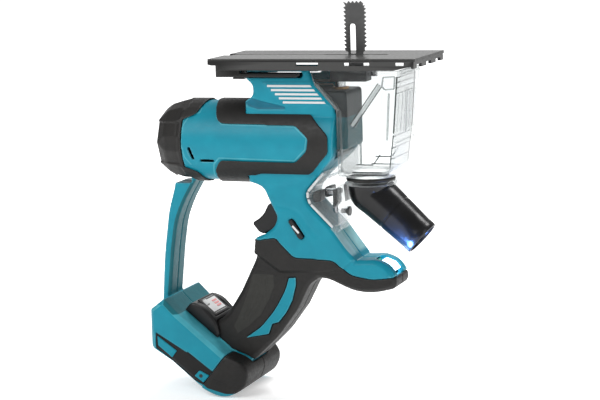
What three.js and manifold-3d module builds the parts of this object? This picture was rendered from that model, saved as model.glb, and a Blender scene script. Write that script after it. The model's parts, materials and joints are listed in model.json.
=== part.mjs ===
// Cordless drywall cut-out saw: a short vertical-stroke saw with a flat base plate on top, a D-shaped body,
// a clear dust box round the blade drive and a swivelling dust nozzle below it.
//
// Frame: +X runs ahead, from the motor to the dust nozzle. +Z runs up along the blade. Y = 0 is the seam
// between the two housing halves. The shapes are drawn with the blade's axis at x = 0 and the work face at
// z = 0, and the whole saw is then shifted back, so that the origin lies on the solid part of the work face.
import * as THREE from 'three';
import { mergeVertices } from 'three/addons/utils/BufferGeometryUtils.js';
import Module from 'manifold-3d';

const wasm = await Module();
wasm.setup();

// ---- Driving dimensions, millimetres and degrees ----
const ORIGIN_AHEAD = 40; // from the blade's axis to the frame's origin
const GAP = 0.3; // between neighbouring pieces
const WALL = 2.4; // housing wall
const RUBBER = 2.0; // overmould thickness
const FAR_OUT = 90; // reaches past everything, for cutting tools
const FLATNESS = 0.12; // detail finer than this is merged into its neighbours

const PLATE = { back: -102, front: 56, half: 38, thick: 2.2, skirt: 8.5 };
const SLOT = { back: -24, front: 24.5, half: 2.2 }; // the blade's slot in the plate
const BLADE = { half: 8.7, shank: 5.6, root: 2, thick: 1.2, tip: 39, bottom: -17, pitch: 3, tooth: 1.8 };
const STROKE = 6; // whole stroke of the blade

const BARREL = { z: -64, r: 30, back: -129.5, front: -9.5, sides: 32 };
const NECK_HALF = 22;
const BODY_HALF = 20;
const GRIP_HALF = 17.5;
const BEAM_HALF = 13;
const FOOT = { x: -120, z: -215, slope: 39, half: 37, top: 7.5, bottom: -25 };

const PINION = { teeth: 10, module: 1 };
const GEAR = { teeth: 30, module: 1 };
const BACKLASH = 0.3; // extra distance between the gear axes
const CRANK_THROW = STROKE / 2;
const GEAR_Z = BARREL.z + ((PINION.teeth + GEAR.teeth) * GEAR.module) / 2 + BACKLASH;
const SLIDER_X = -12.5;

const OUTLET = { x: 9.2, flange: 19.6, tube: 16, bore: 13.6, top: -84, bottom: -95 };
const NOZZLE = { slope: 42, length: 52, rootR: 15.9, tipR: 13.4, wall: 1.9 };

const TEAL = { color: 0x2397ab, roughness: 0.42, metalness: 0 };
const RUBBER_BLACK = { color: 0x262422, roughness: 0.8, metalness: 0 };
const PLASTIC_BLACK = { color: 0x161616, roughness: 0.4, metalness: 0 };
const PLATE_BLACK = { color: 0x222222, roughness: 0.5, metalness: 0.3 };
const STEEL = { color: 0x8c9094, roughness: 0.35, metalness: 1 };
const DARK_STEEL = { color: 0x3a3c3e, roughness: 0.45, metalness: 0.9 };
const CAST_ALUMINIUM = { color: 0x5c6064, roughness: 0.55, metalness: 0.8 };
const COPPER = { color: 0xa8622e, roughness: 0.4, metalness: 0.9 };
const CLEAR = { color: 0xe8eef0, roughness: 0.08, metalness: 0, transparent: true, opacity: 0.35 };
const BOARD_GREEN = { color: 0x1f5a38, roughness: 0.6, metalness: 0 };

const saw = new THREE.Group();

// ---- Solids ----

// A closed three.js geometry as a solid: shared corners merged, needle triangles dropped.
function solid(geometry) {
  const bare = geometry.clone();
  bare.deleteAttribute('normal');
  bare.deleteAttribute('uv');
  const merged = mergeVertices(bare, 1e-4);
  const index = merged.index.array;
  const kept = [];
  for (let i = 0; i < index.length; i += 3) {
    const [a, b, c] = [index[i], index[i + 1], index[i + 2]];
    if (a !== b && b !== c && c !== a) kept.push(a, b, c);
  }
  return new wasm.Manifold(
    new wasm.Mesh({
      numProp: 3,
      vertProperties: new Float32Array(merged.attributes.position.array),
      triVerts: new Uint32Array(kept),
    }),
  );
}

function join(...solids) {
  return solids.reduce((whole, next) => whole.add(next));
}

function cut(body, ...tools) {
  return tools.reduce((whole, tool) => whole.subtract(tool), body);
}

// A solid drawn in by a distance all round in the XZ plane: what its shifted copies have in common.
function drawnIn(body, distance) {
  const diagonal = distance * Math.SQRT1_2;
  const shifts = [
    [distance, 0], [-distance, 0], [0, distance], [0, -distance],
    [diagonal, diagonal], [-diagonal, diagonal], [diagonal, -diagonal], [-diagonal, -diagonal],
  ];
  return shifts.map(([x, z]) => body.translate(x, 0, z)).reduce((shared, next) => shared.intersect(next));
}

// A named mesh made from a solid, added to the saw.
function piece(name, body, finish) {
  const made = body.simplify(FLATNESS).getMesh();
  const geometry = new THREE.BufferGeometry();
  geometry.setAttribute('position', new THREE.BufferAttribute(made.vertProperties, 3));
  geometry.setIndex(new THREE.BufferAttribute(made.triVerts, 1));
  geometry.computeVertexNormals();
  const mesh = new THREE.Mesh(geometry, new THREE.MeshStandardMaterial(finish));
  mesh.name = name;
  saw.add(mesh);
}

// A closed outline in the XZ plane. Each point is [x, z] or [x, z, cut-back of a rounded corner], and a
// corner is never cut back past the middle of its edges.
function outline(points) {
  const corners = points.map(([x, z]) => new THREE.Vector2(x, z));
  const shape = new THREE.Shape();
  corners.forEach((corner, i) => {
    const back = corners.at(i - 1).clone().sub(corner);
    const on = corners[(i + 1) % corners.length].clone().sub(corner);
    const round = Math.min(points[i][2] ?? 0, 0.48 * back.length(), 0.48 * on.length());
    const begin = back.setLength(round).add(corner);
    if (i === 0) shape.moveTo(begin.x, begin.y);
    else shape.lineTo(begin.x, begin.y);
    if (round > 0) {
      const end = on.setLength(round).add(corner);
      shape.quadraticCurveTo(corner.x, corner.y, end.x, end.y);
    }
  });
  return shape;
}

// An XZ outline drawn out from y0 to y1, with its rim bevelled.
function prism(points, y0, y1, { bevel = 0, steps = 2 } = {}) {
  const geometry = new THREE.ExtrudeGeometry(outline(points), {
    depth: y1 - y0 - 2 * bevel,
    bevelEnabled: bevel > 0,
    bevelThickness: bevel,
    bevelSize: bevel,
    bevelOffset: -bevel,
    bevelSegments: steps,
    curveSegments: 4,
  });
  geometry.rotateX(Math.PI / 2);
  geometry.translate(0, y1 - bevel, 0);
  return solid(geometry);
}

function slab(points, half, options) {
  return prism(points, -half, half, options);
}

function block(x0, x1, y0, y1, z0, z1) {
  const geometry = new THREE.BoxGeometry(x1 - x0, y1 - y0, z1 - z0);
  geometry.translate((x0 + x1) / 2, (y0 + y1) / 2, (z0 + z1) / 2);
  return solid(geometry);
}

// Cylinders and cones along each axis. The first radius belongs to the lower end.
function rodZ(x, y, z0, z1, r0, r1 = r0, sides = 20) {
  const geometry = new THREE.CylinderGeometry(r1, r0, z1 - z0, sides);
  geometry.rotateX(Math.PI / 2);
  geometry.translate(x, y, (z0 + z1) / 2);
  return solid(geometry);
}

function rodX(x0, x1, y, z, r0, r1 = r0, sides = 20) {
  const geometry = new THREE.CylinderGeometry(r1, r0, x1 - x0, sides);
  geometry.rotateZ(-Math.PI / 2);
  geometry.translate((x0 + x1) / 2, y, z);
  return solid(geometry);
}

function rodY(x, z, y0, y1, r0, r1 = r0, sides = 16) {
  const geometry = new THREE.CylinderGeometry(r1, r0, y1 - y0, sides);
  geometry.translate(x, (y0 + y1) / 2, z);
  return solid(geometry);
}

// A tube along X between two radii.
function tubeX(x0, x1, z, inner, outer, sides = 20) {
  return cut(rodX(x0, x1, 0, z, outer, outer, sides), rodX(x0 - 1, x1 + 1, 0, z, inner, inner, sides));
}

// Shifts of one gap each way in the XZ plane, for clearance round a neighbour.
const AROUND = [[GAP, 0], [-GAP, 0], [0, GAP], [0, -GAP]];

// The two sides of the seam plane, a little apart.
const NEAR_SIDE = block(-300, 300, -FAR_OUT, -GAP / 2, -400, 100);
const FAR_SIDE = block(-300, 300, GAP / 2, FAR_OUT, -400, 100);

function halves(name, body, finish) {
  piece(`${name}_near`, body.intersect(NEAR_SIDE), finish);
  piece(`${name}_far`, body.intersect(FAR_SIDE), finish);
}

// A point of the sloping battery foot: along it towards its front end, and up from its middle.
function foot(along, up, round = 0) {
  const slope = THREE.MathUtils.degToRad(FOOT.slope);
  const x = FOOT.x + along * Math.cos(slope) + up * Math.sin(slope);
  const z = FOOT.z - along * Math.sin(slope) + up * Math.cos(slope);
  return [x, z, round];
}

// ---- Outlines of the body, [x, z, corner] ----
const barrelOutline = [
  [BARREL.back, -30], [-14, -30, 8], [BARREL.front, -38, 3], [BARREL.front - 0.5, -72.5, 3],
  [-20.6, -82.6], [-34.4, -98.4], [BARREL.back, -98],
];
const neckOutline = [
  [-79, -9], [-29.5, -9], [-26, -17.4, 3], [-10.5, -34.5, 2], [-9.5, -60], [-80, -60], [-80, -32.5],
  [-73.7, -28.5, 3], [-73.7, -20.5, 3], [-79, -16],
];
const bodyOutline = [
  [-80, -70], [-12, -70], [-21, -82.5, 2], [-35, -98.8, 3], [-36, -103.7, 4], [-33.5, -109, 3],
  [-14.6, -128.2], [1.5, -150], [-8, -158], [-28, -160], [-58, -161], [-78.5, -147], [-77, -135, 2],
  [-70.5, -133.2, 3], [-61, -126.5, 4], [-58.4, -119, 3], [-64.4, -107.4, 3], [-69, -96.5, 5], [-80, -93],
];
const noseOutline = [
  [-40, -140], [-8, -137.5], [1.5, -150], [16, -149.2, 3], [26, -153, 6], [32, -162, 5], [31.5, -170, 4],
  [14, -174.2, 10], [-1, -173.4, 8], [-24, -163.4, 8], [-50, -168],
];
const gripOutline = [
  [-79.4, -136.5], [-62, -134], [-40, -150], [-20, -158], [-26.5, -163.4, 4], [-36, -169.5, 4],
  [-46.7, -190], [-62, -210.5, 8], foot(38, 8), foot(22, 0), foot(-2, 0), foot(-3, 14, 3),
  [-103.4, -196, 5], [-91, -177.2], [-78.3, -152.2, 5], [-76.6, -146, 3],
];
const bodyHollowOutline = [
  [-74, -60], [-20, -60], [-24, -80], [-41, -98], [-41, -107], [-20, -131], [-5, -152], [22, -155],
  [26, -163], [20, -168], [0, -168], [-14, -163], [-30, -158], [-60, -160], [-70, -148], [-68, -140],
  [-55, -130],
  [-52.5, -117], [-58, -104], [-64, -90], [-74, -88],
];
const gripHollowOutline = [
  [-72, -143], [-50, -143], [-34, -156], [-40.5, -169], [-51.5, -190], [-66, -208.5], foot(33, 2), foot(4, 2),
  foot(5, 22), [-96, -196], [-84, -172], [-72, -152],
];
const beamOutline = [
  [-144.7, -84], [-143.6, -98, 4], [-149.8, -117.5, 8], [-155, -152, 12], [-158.2, -192], [-140, -196],
  [-151.2, -186, 2], [-146.6, -147, 12], [-142.8, -125.2, 8], [-136.5, -110.5, 6], [-123, -88], [-112, -72],
  [-135, -72],
];
const footOutline = [
  [-158, -190], [-158.3, -219.5, 3], foot(-8, FOOT.bottom), foot(26, FOOT.bottom, 8), foot(42, -19, 8),
  foot(49, -3, 8), foot(45, 9, 5), foot(36, 13, 6), foot(20, FOOT.top), foot(-27, FOOT.top, 3),
  foot(-42, 9),
];
// Everything below this line on the grip and nose is under rubber.
const rubberOutline = [
  [-120, -137], [-74, -137, 2], [-60.5, -134.8, 2], [-46.5, -149.2, 3], [-15.3, -150.4, 4], [-3, -161.2, 4],
  [14, -164.2, 6], [40, -160.2], [40, -200], foot(60, 14), foot(20, 8.2), foot(-2, 8.2), foot(-20, 30),
];

// ---- Housing, its overmoulds and the inlays ----
const barrel = slab(barrelOutline, 32).intersect(
  rodX(BARREL.back - 1, 0, 0, BARREL.z, BARREL.r, BARREL.r, BARREL.sides),
);
const barrelHollow = drawnIn(slab(barrelOutline, 32), WALL).translate(-WALL - 1, 0, 0).intersect(
  rodX(BARREL.back - 5, -WALL, 0, BARREL.z, BARREL.r - WALL, BARREL.r - WALL, BARREL.sides),
);
const bodyOuter = join(
  slab(bodyOutline, BODY_HALF, { bevel: 2, steps: 1 }),
  slab(noseOutline, BODY_HALF - 2, { bevel: 3, steps: 1 }),
  slab(gripOutline, GRIP_HALF, { bevel: 3, steps: 1 }),
);
// The shell under the rubber: the body drawn in all round, and slimmer by a distance each side.
const bodyUnderRubber = (slimmer) => drawnIn(
  join(
    slab(bodyOutline, BODY_HALF - slimmer),
    slab(noseOutline, BODY_HALF - 2 - slimmer),
    slab(gripOutline, GRIP_HALF - slimmer),
  ),
  RUBBER + GAP,
);
const rubberZone = slab(rubberOutline, FAR_OUT);
const rubberZoneWide = join(rubberZone, rubberZone.translate(0, 0, GAP));
const bodyCore = bodyUnderRubber(RUBBER + GAP);
const bodyHollow = join(
  slab(bodyHollowOutline, BODY_HALF - RUBBER - GAP - WALL),
  slab(gripHollowOutline, GRIP_HALF - RUBBER - GAP - WALL - 0.8, { bevel: 3 }),
);

const neck = slab(neckOutline, NECK_HALF, { bevel: 1.5, steps: 1 });
const neckHollow = drawnIn(slab(neckOutline, NECK_HALF - WALL), WALL);
const beam = slab(beamOutline, BEAM_HALF, { bevel: 2, steps: 1 });
const footShell = slab(footOutline, FOOT.half - 0.5, { bevel: 3, steps: 1 });
const slopeAngle = THREE.MathUtils.degToRad(FOOT.slope);
const clearOfFoot = [2 * GAP * Math.sin(slopeAngle), 0, 2 * GAP * Math.cos(slopeAngle)];
const BAY_CEILING = -12;
const footHollow = slab(
  [
    foot(-24, BAY_CEILING + WALL), foot(-24, FOOT.top - WALL), foot(34, FOOT.top - WALL),
    foot(34, BAY_CEILING + WALL),
  ],
  FOOT.half - 9,
);

// The battery slides in from the rear: a wide channel with a narrower mouth between two rails.
const bayChannel = slab([foot(-60, -21), foot(-60, BAY_CEILING), foot(36, BAY_CEILING), foot(36, -21)], 29);
const bayMouth = slab([foot(-60, -30), foot(-60, -20), foot(36, -20), foot(36, -30)], 24);

const gearBay = block(-54.5, 20, -19, 19, -74.6, -8);
const triggerPocket = slab(
  [[-90, -106], [-59, -106], [-52.6, -117], [-52.2, -130], [-60, -136.5], [-68, -141], [-90, -141]], 8.6,
);
const railSlots = join(
  prism([[-100, -15.2], [-100, -10.8], [-34, -10.8, 2.1], [-34, -15.2, 2.1]], 18.6, 30),
  prism([[-100, -15.2], [-100, -10.8], [-34, -10.8, 2.1], [-34, -15.2, 2.1]], -30, -18.6),
);
const lockOval = (grow) => [
  [-49.8 - grow, -121, 2.6], [-46, -119.6 + grow, 2.6],
  [-36.8 + grow, -133.4, 2.6], [-40.8, -135.4 - grow, 2.6],
];
const ventSlots = join(
  prism([[-124.8, -66], [-122.6, -66], [-119.6, -76], [-121.8, -76]], -40, -15),
  prism([[-116, -75.6], [-104, -75.6], [-104, -77.6], [-116, -77.6]], -40, -15),
  prism([[-124.8, -66], [-122.6, -66], [-119.6, -76], [-121.8, -76]], 15, 40),
  prism([[-116, -75.6], [-104, -75.6], [-104, -77.6], [-116, -77.6]], 15, 40),
);

const lightPocket = slab([[11, -151], [18, -148], [32, -150], [34, -161], [26, -162], [11, -158.5]], 8.3);

// Screws that hold the halves together, from the far side: [x, z, depth of the head's seat].
const SCREWS = [
  [-66, -24, 12], [-100, -39.5, 8], [-56, -92, 11], [-22, -147, 9], [-66, -160, 7], [-131, -202, 12],
];
const bossRods = join(...SCREWS.map(([x, z]) => rodY(x, z, -FAR_OUT, FAR_OUT, 4.2, 4.2, 10)));
const screwHoles = join(
  ...SCREWS.map(([x, z]) => rodY(x, z, -11, FAR_OUT, 1.9, 1.9, 10)),
  ...SCREWS.map(([x, z, seat]) => rodY(x, z, seat, FAR_OUT, 3.6, 3.6, 10)),
);

const housingOuter = join(
  cut(bodyOuter, rubberZoneWide),
  bodyCore,
  barrel,
  neck,
  beam,
  cut(footShell, slab([foot(22, -60), foot(22, 60), foot(80, 60), foot(80, -60)], FAR_OUT)),
);
const housingHollow = join(bodyHollow, barrelHollow, neckHollow, footHollow);
const housing = cut(
  join(cut(housingOuter, housingHollow), bossRods.intersect(housingOuter)),
  bayChannel, bayMouth, gearBay, lightPocket, triggerPocket, railSlots, ventSlots, screwHoles,
  slab(lockOval(GAP), FAR_OUT),
  block(-200, -129.5, -40, 40, -96, -20),
);
halves('housing', housing, TEAL);

SCREWS.forEach(([x, z, seat], i) => {
  const head = rodY(x, z, seat + GAP, seat + 2.6, 3.1, 3.1, 10);
  const screw = join(rodY(x, z, -9, seat + 1, 1.5, 1.5, 10), head);
  piece(`housing_screw_${i + 1}`, screw, DARK_STEEL);
});

// Grip and nose rubber, with a crescent let into each side.
const crescentOutline = (grow) => [
  [-51.4 - grow, -165.1 + grow], [-46 + grow, -164.5 + grow], [-46 + grow, -170], [-49.3 + grow, -182],
  [-54 + grow, -191, 4], [-60.7 + grow, -199 - grow], [-66 + grow, -200.6 - grow],
  [-69 + grow, -208.5 - grow], [-87.5 - 3 * grow, -212.4 - grow], [-74.5 - grow, -203.3, 6],
  [-62.5 - grow, -189, 8], [-54.2 - grow, -174, 6],
];
const inlays = join(
  prism(crescentOutline(0), -GRIP_HALF - 0.4, -GRIP_HALF + 1),
  prism(crescentOutline(0), GRIP_HALF - 1, GRIP_HALF + 0.4),
);
const inlayPockets = join(
  prism(crescentOutline(2 * GAP), -GRIP_HALF - 1, -GRIP_HALF + 1 + GAP),
  prism(crescentOutline(2 * GAP), GRIP_HALF - 1 - GAP, GRIP_HALF + 1),
);
const coreRoom = bodyUnderRubber(RUBBER);
const gripCover = cut(
  bodyOuter.intersect(rubberZone),
  ...AROUND.map(([x, z]) => coreRoom.translate(x, 0, z)),
  inlayPockets, triggerPocket, footShell.translate(...clearOfFoot), footShell.translate(GAP, 0, 0),
);
halves('grip_cover', gripCover, RUBBER_BLACK);
halves('grip_inlay', inlays, TEAL);

// Rubber band round the side of the motor barrel, a C lying on its back.
const bandOutline = [
  [-107, -24], [-76, -24], [-78, -32.5, 3], [-69, -37.8, 4], [-30.5, -39.8, 3], [-13, -56.5, 3],
  [-13, -69, 3], [-30, -86.4, 4], [-68, -85.8, 4], [-75.5, -88, 4], [-76, -100], [-107.5, -100],
  [-104.5, -84], [-99, -76, 3], [-39.5, -76.8, 3], [-29.5, -67.5, 3], [-28.5, -58.5, 3], [-39, -49.6, 3],
  [-97.5, -48.6, 3], [-101.5, -46, 3], [-107, -33],
];
const bandShell = tubeX(-120, -10, BARREL.z, BARREL.r + GAP, BARREL.r + 1.6, BARREL.sides);
const band = cut(
  slab(bandOutline, 40).intersect(bandShell),
  neck.translate(0, 0, -GAP), neck.translate(-GAP, 0, 0), block(-60, 0, -6, 6, -40, -20),
  ...AROUND.map(([x, z]) => slab(bodyOutline, BODY_HALF + GAP).translate(x, 0, z)),
);
halves('barrel_band', band, RUBBER_BLACK);

// Rear cap: a faceted dome with a wing over the top of the barrel and one under it.
const capProfile = [
  [0, 0], [14, 0], [23, 4], [28, 13], [30.6, 22], [31.2, 27], [31.2, 27.6], [29.2, 27.6], [28.2, 22],
  [26, 14], [21.5, 6.5], [13, 2.2], [0, 2.2],
].map(([r, along]) => new THREE.Vector2(r, along));
const capLathe = new THREE.LatheGeometry(capProfile, 16, Math.PI / 16);
capLathe.rotateZ(-Math.PI / 2);
capLathe.translate(-157.2, 0, BARREL.z);
const capWings = tubeX(-131, -111, BARREL.z, BARREL.r + GAP, BARREL.r + 1.6, BARREL.sides).intersect(
  join(
    slab([[-131, -20], [-111, -20], [-119, -42, 3], [-131, -47]], 40),
    slab([[-131, -108], [-113, -108], [-119, -86, 3], [-131, -81]], 40),
  ),
);
const cap = cut(join(solid(capLathe), capWings), beam.translate(0, 0, GAP), beam.translate(GAP, 0, 0));
piece('rear_cap', cap, RUBBER_BLACK);

// ---- Battery foot ----
const footCover = cut(
  slab(footOutline, FOOT.half, { bevel: 3 }).intersect(
    slab([foot(22.3, -40), foot(22.3, 60), foot(80, 60), foot(80, -40)], FAR_OUT),
  ),
  slab([foot(0, -21.5), foot(0, 4.5), foot(42, 4.5), foot(46, -3), foot(40, -21.5)], FOOT.half - 5),
  bayChannel, bayMouth, gripCoverClearance(),
);
halves('foot_cover', footCover, RUBBER_BLACK);

// The room that the grip and its rubber take where they run down into the foot.
function gripCoverClearance() {
  const shifts = [[0, 0], [-GAP, 0], [0, GAP], [-GAP, GAP], [GAP, 0], [GAP, GAP]];
  return join(...shifts.map(([x, z]) => slab(gripOutline, GRIP_HALF + GAP).translate(x, 0, z)));
}

const humpOutline = [
  foot(-26.6, FOOT.top + GAP), foot(-26.4, 16, 4), foot(-17, 20, 6), foot(-2, 18, 6), foot(6, 12),
  foot(7, FOOT.top + GAP),
];
const panelPocket = slab([foot(-24.5, 17), foot(-24.5, 26), foot(-5.5, 26), foot(-5.5, 17)], 14.5);
const BUTTON_Y = -8;
const buttonBore = slab([foot(-21.8, 8), foot(-21.8, 26), foot(-16.2, 26), foot(-16.2, 8)], 2.8)
  .translate(0, BUTTON_Y, 0);
const hump = cut(
  slab(humpOutline, 21, { bevel: 1.5 }), panelPocket, gripCoverClearance(), buttonBore,
  beam.translate(GAP, 0, 0), beam.translate(0, 0, GAP),
);
piece('indicator_panel', hump, PLASTIC_BLACK);
const lensPlate = slab([foot(-24.2, 17.3), foot(-24.2, 18.6), foot(-5.8, 18.6), foot(-5.8, 17.3)], 14.2);
piece('indicator_lens', cut(lensPlate, buttonBore), { color: 0xd8dcdc, roughness: 0.3, metalness: 0 });
const button = slab([foot(-21.4, 9.8), foot(-21.4, 19.4), foot(-16.6, 19.4), foot(-16.6, 9.8)], 2.4);
piece('check_button', button.translate(0, BUTTON_Y, 0), PLASTIC_BLACK);

const TERMINAL_TOP = BAY_CEILING - GAP;
const terminalOutline = [
  foot(-4, TERMINAL_TOP), foot(-4, -17.2), foot(20, -17.2), foot(20, TERMINAL_TOP),
].reverse();
piece('terminal_block', slab(terminalOutline, 13), PLASTIC_BLACK);
const boardOutline = [foot(-22, -5), foot(-22, -3.4), foot(32, -3.4), foot(32, -5)];
piece('controller_board', slab(boardOutline, 25), BOARD_GREEN);

// ---- Motor ----
piece('motor_can', tubeX(-126, -72, BARREL.z, 16.5, 19), DARK_STEEL);
const shaft = rodX(-142, -37, 0, BARREL.z, 2.5, 2.5, 12);
const fan = join(
  tubeX(-69, -67.6, BARREL.z, 2.2, 21.5),
  ...Array.from({ length: 9 }, (_, i) =>
    block(-67.8, -61, -0.8, 0.8, 8, 21).rotate(i * 40, 0, 0).translate(0, 0, BARREL.z)),
  tubeX(-69, -60, BARREL.z, 2.2, 8.5),
);
const core = rodX(-118, -78, 0, BARREL.z, 15, 15, 16);
const commutator = rodX(-134, -121, 0, BARREL.z, 9, 9, 16);
piece('armature', join(shaft, core, commutator), COPPER);
piece('fan', cut(fan, rodX(-80, -50, 0, BARREL.z, 2.5 + GAP, 2.5 + GAP, 12)), PLASTIC_BLACK);
const holder = cut(
  tubeX(-134, -127, BARREL.z, 9.6, 18.5),
  block(-133, -128, -25, 25, BARREL.z - 2.8, BARREL.z + 2.8),
);
piece('brush_holder', join(holder, tubeX(-127.2, -126.3, BARREL.z, 15.4, 18.5)), PLASTIC_BLACK);
piece('carbon_brush_near', block(-132.6, -128.4, -17, -9.4, BARREL.z - 2.5, BARREL.z + 2.5), DARK_STEEL);
piece('carbon_brush_far', block(-132.6, -128.4, 9.4, 17, BARREL.z - 2.5, BARREL.z + 2.5), DARK_STEEL);
piece('rear_bearing', tubeX(-142, -136.5, BARREL.z, 2.5 + GAP, 8), STEEL);
piece('front_bearing', tubeX(-58, -53, BARREL.z, 2.5 + GAP, 8), STEEL);

// ---- Gear train and stroke ----

// A spur gear blank with straight-sided teeth, its axis along X, one tooth centred on the angle phase.
function spurGear(teeth, module, x0, x1, z, phase) {
  const pitchR = (teeth * module) / 2;
  const step = (2 * Math.PI) / teeth;
  const points = Array.from({ length: teeth }, (_, i) => {
    const tooth = [
      [pitchR - 1.2 * module, -0.36], [pitchR + 0.9 * module, -0.07],
      [pitchR + 0.9 * module, 0.07], [pitchR - 1.2 * module, 0.36],
    ];
    return tooth.map(([r, part]) => {
      const angle = phase + (i + part) * step;
      return new THREE.Vector2(r * Math.cos(angle), r * Math.sin(angle));
    });
  }).flat();
  const rim = new THREE.Shape(points);
  const geometry = new THREE.ExtrudeGeometry(rim, { depth: x1 - x0, bevelEnabled: false });
  geometry.rotateY(Math.PI / 2);
  geometry.rotateX(Math.PI / 2);
  geometry.translate(x0, 0, z);
  return solid(geometry);
}

const SHAFT_CLEAR = 2.5 + GAP;
const pinionGear = spurGear(PINION.teeth, PINION.module, -47, -37.3, BARREL.z, Math.PI / 2);
piece('pinion', cut(pinionGear, rodX(-60, -30, 0, BARREL.z, SHAFT_CLEAR, SHAFT_CLEAR, 12)), STEEL);
const crankPin = rodX(-38, -17.4, CRANK_THROW, GEAR_Z, 2.6, 2.6, 16);
const gearPhase = -Math.PI / 2 + Math.PI / GEAR.teeth;
const crankGear = cut(
  join(spurGear(GEAR.teeth, GEAR.module, -46, -38, GEAR_Z, gearPhase), rodX(-38.5, -34, 0, GEAR_Z, 9, 9)),
  rodX(-60, -39, 0, GEAR_Z, 3 + GAP, 3 + GAP),
);
piece('crank_gear', join(crankGear, crankPin), STEEL);
piece('gear_axle', rodX(-52.9, -39.5, 0, GEAR_Z, 3), STEEL);

const caseOutline = [[-54, -74], [-34, -74], [-30, -68], [-2, -68, 3], [-2, -25, 3], [-54, -25, 3]];
const caseHollow = [[-51.5, -71.5], [-35, -71.5], [-31, -65.6], [-4.5, -65.6], [-4.5, -27.5], [-51.5, -27.5]];
const gearCase = cut(
  slab(caseOutline, 18.6, { bevel: 1.5, steps: 1 }), slab(caseHollow, 16.9),
  rodX(-60, -50, 0, BARREL.z, 8 + GAP, 8 + GAP), rodX(-60, -50, 0, GEAR_Z, 3 + GAP, 3 + GAP),
  rodZ(SLIDER_X, 0, -80, -60, 5.6), rodZ(SLIDER_X, 0, -33, -20, 6.5),
);
const caseSeat = cut(rodX(-53.2, -51, 0, GEAR_Z, 6), rodX(-60, -50, 0, GEAR_Z, 3 + GAP, 3 + GAP));
piece('gear_case', join(gearCase, caseSeat), CAST_ALUMINIUM);
const bush = (z0, z1, outer) => cut(rodZ(SLIDER_X, 0, z0, z1, outer), rodZ(SLIDER_X, 0, -90, 0, 4 + GAP));
piece('upper_bush', bush(-28, -23.4, 6.2), COPPER);
piece('lower_bush', bush(-68, -64.2, 5.3), COPPER);

// The slider with its yoke: the slot is tall enough for the crank pin at every angle and stroke.
const yokeSlot = block(-30, 0, -CRANK_THROW - 3.2, CRANK_THROW + 3.2, GEAR_Z - 9.2, GEAR_Z + 9.2);
const yoke = cut(block(-23, -17, -9.5, 9.5, GEAR_Z - 12, GEAR_Z + 12), yokeSlot);
const slider = join(
  rodZ(SLIDER_X, 0, -71, -12.8, 4), yoke,
  block(-18, SLIDER_X, -3, 3, GEAR_Z - 12, GEAR_Z - 9.6),
  block(-18, SLIDER_X, -3, 3, GEAR_Z + 9.6, GEAR_Z + 12),
);
piece('slider', slider, STEEL);
const CLAMP = { back: -18.5, front: 9.5, half: 6, top: -9.6, bottom: -19.4 };
const clampHead = cut(
  block(CLAMP.back, CLAMP.front, -CLAMP.half, CLAMP.half, CLAMP.bottom, CLAMP.top),
  rodZ(SLIDER_X, 0, -30, 0, 4 + GAP),
  block(-BLADE.shank - 2.5, BLADE.shank + 2.5, -0.9, 0.9, BLADE.bottom - GAP, 0),
  rodY(5.5, -14.5, 1.5, 20, 2.3),
);
piece('blade_clamp', clampHead, DARK_STEEL);
const lever = join(
  rodY(5.5, -14.5, 1.8, 9, 2),
  block(3.5, 7.5, 6.4, 8.8, -14.5, -9), block(3.5, 13.5, 6.4, 8.8, -16.5, -12.5),
);
piece('clamp_lever', lever, STEEL);

// ---- Blade ----
// Teeth run up the rear edge, over the top and down the front edge, and the front top corner is round.
// The shank below them is narrower, and a long window runs up from it.
function bladeOutline() {
  const root = BLADE.half - BLADE.tooth;
  const points = [[-BLADE.shank, BLADE.bottom], [-BLADE.shank, BLADE.root], [-root, BLADE.root + 0.3]];
  for (let z = BLADE.root + 0.3; z < BLADE.tip - BLADE.pitch; z += BLADE.pitch) {
    points.push([-BLADE.half, z + 1.2], [-root, z + BLADE.pitch]);
  }
  for (let x = -root; x < root - 4; x += BLADE.pitch) {
    points.push([x + 0.9, BLADE.tip], [x + BLADE.pitch, BLADE.tip - BLADE.tooth]);
  }
  for (let turn = 60; turn >= 0; turn -= 30) {
    const angle = THREE.MathUtils.degToRad(turn);
    points.push([root - 3.5 + 3.5 * Math.cos(angle), BLADE.tip - 4.6 + 3.5 * Math.sin(angle)]);
  }
  for (let z = BLADE.tip - 5; z > BLADE.root + BLADE.pitch; z -= BLADE.pitch) {
    points.push([BLADE.half, z - 1.2], [root, z - BLADE.pitch]);
  }
  points.push([root, BLADE.root + 0.3], [BLADE.shank, BLADE.root], [BLADE.shank, BLADE.bottom]);
  return points;
}
const bladeWindow = slab([[-4, 0.6, 0.6], [0.4, 0.6, 0.6], [0.4, 22.5, 1.8], [-4, 22.5, 1.8]], 3);
piece('blade', cut(slab(bladeOutline(), BLADE.thick / 2), bladeWindow), DARK_STEEL);

// ---- Trigger, switch and lock button ----
const triggerOutline = [
  [-69.5, -110.5, 2], [-73.7, -118.7, 5], [-78, -122.7, 3], [-82.4, -125.2], [-82.6, -127],
  [-78.3, -132.6, 2], [-73.5, -134.4, 3], [-68.5, -131.6], [-61.5, -130.4], [-59.2, -126.4],
  [-59.2, -113.5, 2],
];
piece('trigger', slab(triggerOutline, 8, { bevel: 0.7, steps: 1 }), PLASTIC_BLACK);
const switchOutline = [[-50.6, -117.4], [-41.6, -114.5], [-41.6, -101], [-50.6, -101]];
piece('switch_body', slab(switchOutline, 9.5), PLASTIC_BLACK);
const lockButton = prism(lockOval(-GAP), -BODY_HALF - 1.6, BODY_HALF - 3);
piece('lock_button', lockButton, PLASTIC_BLACK);

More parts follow.
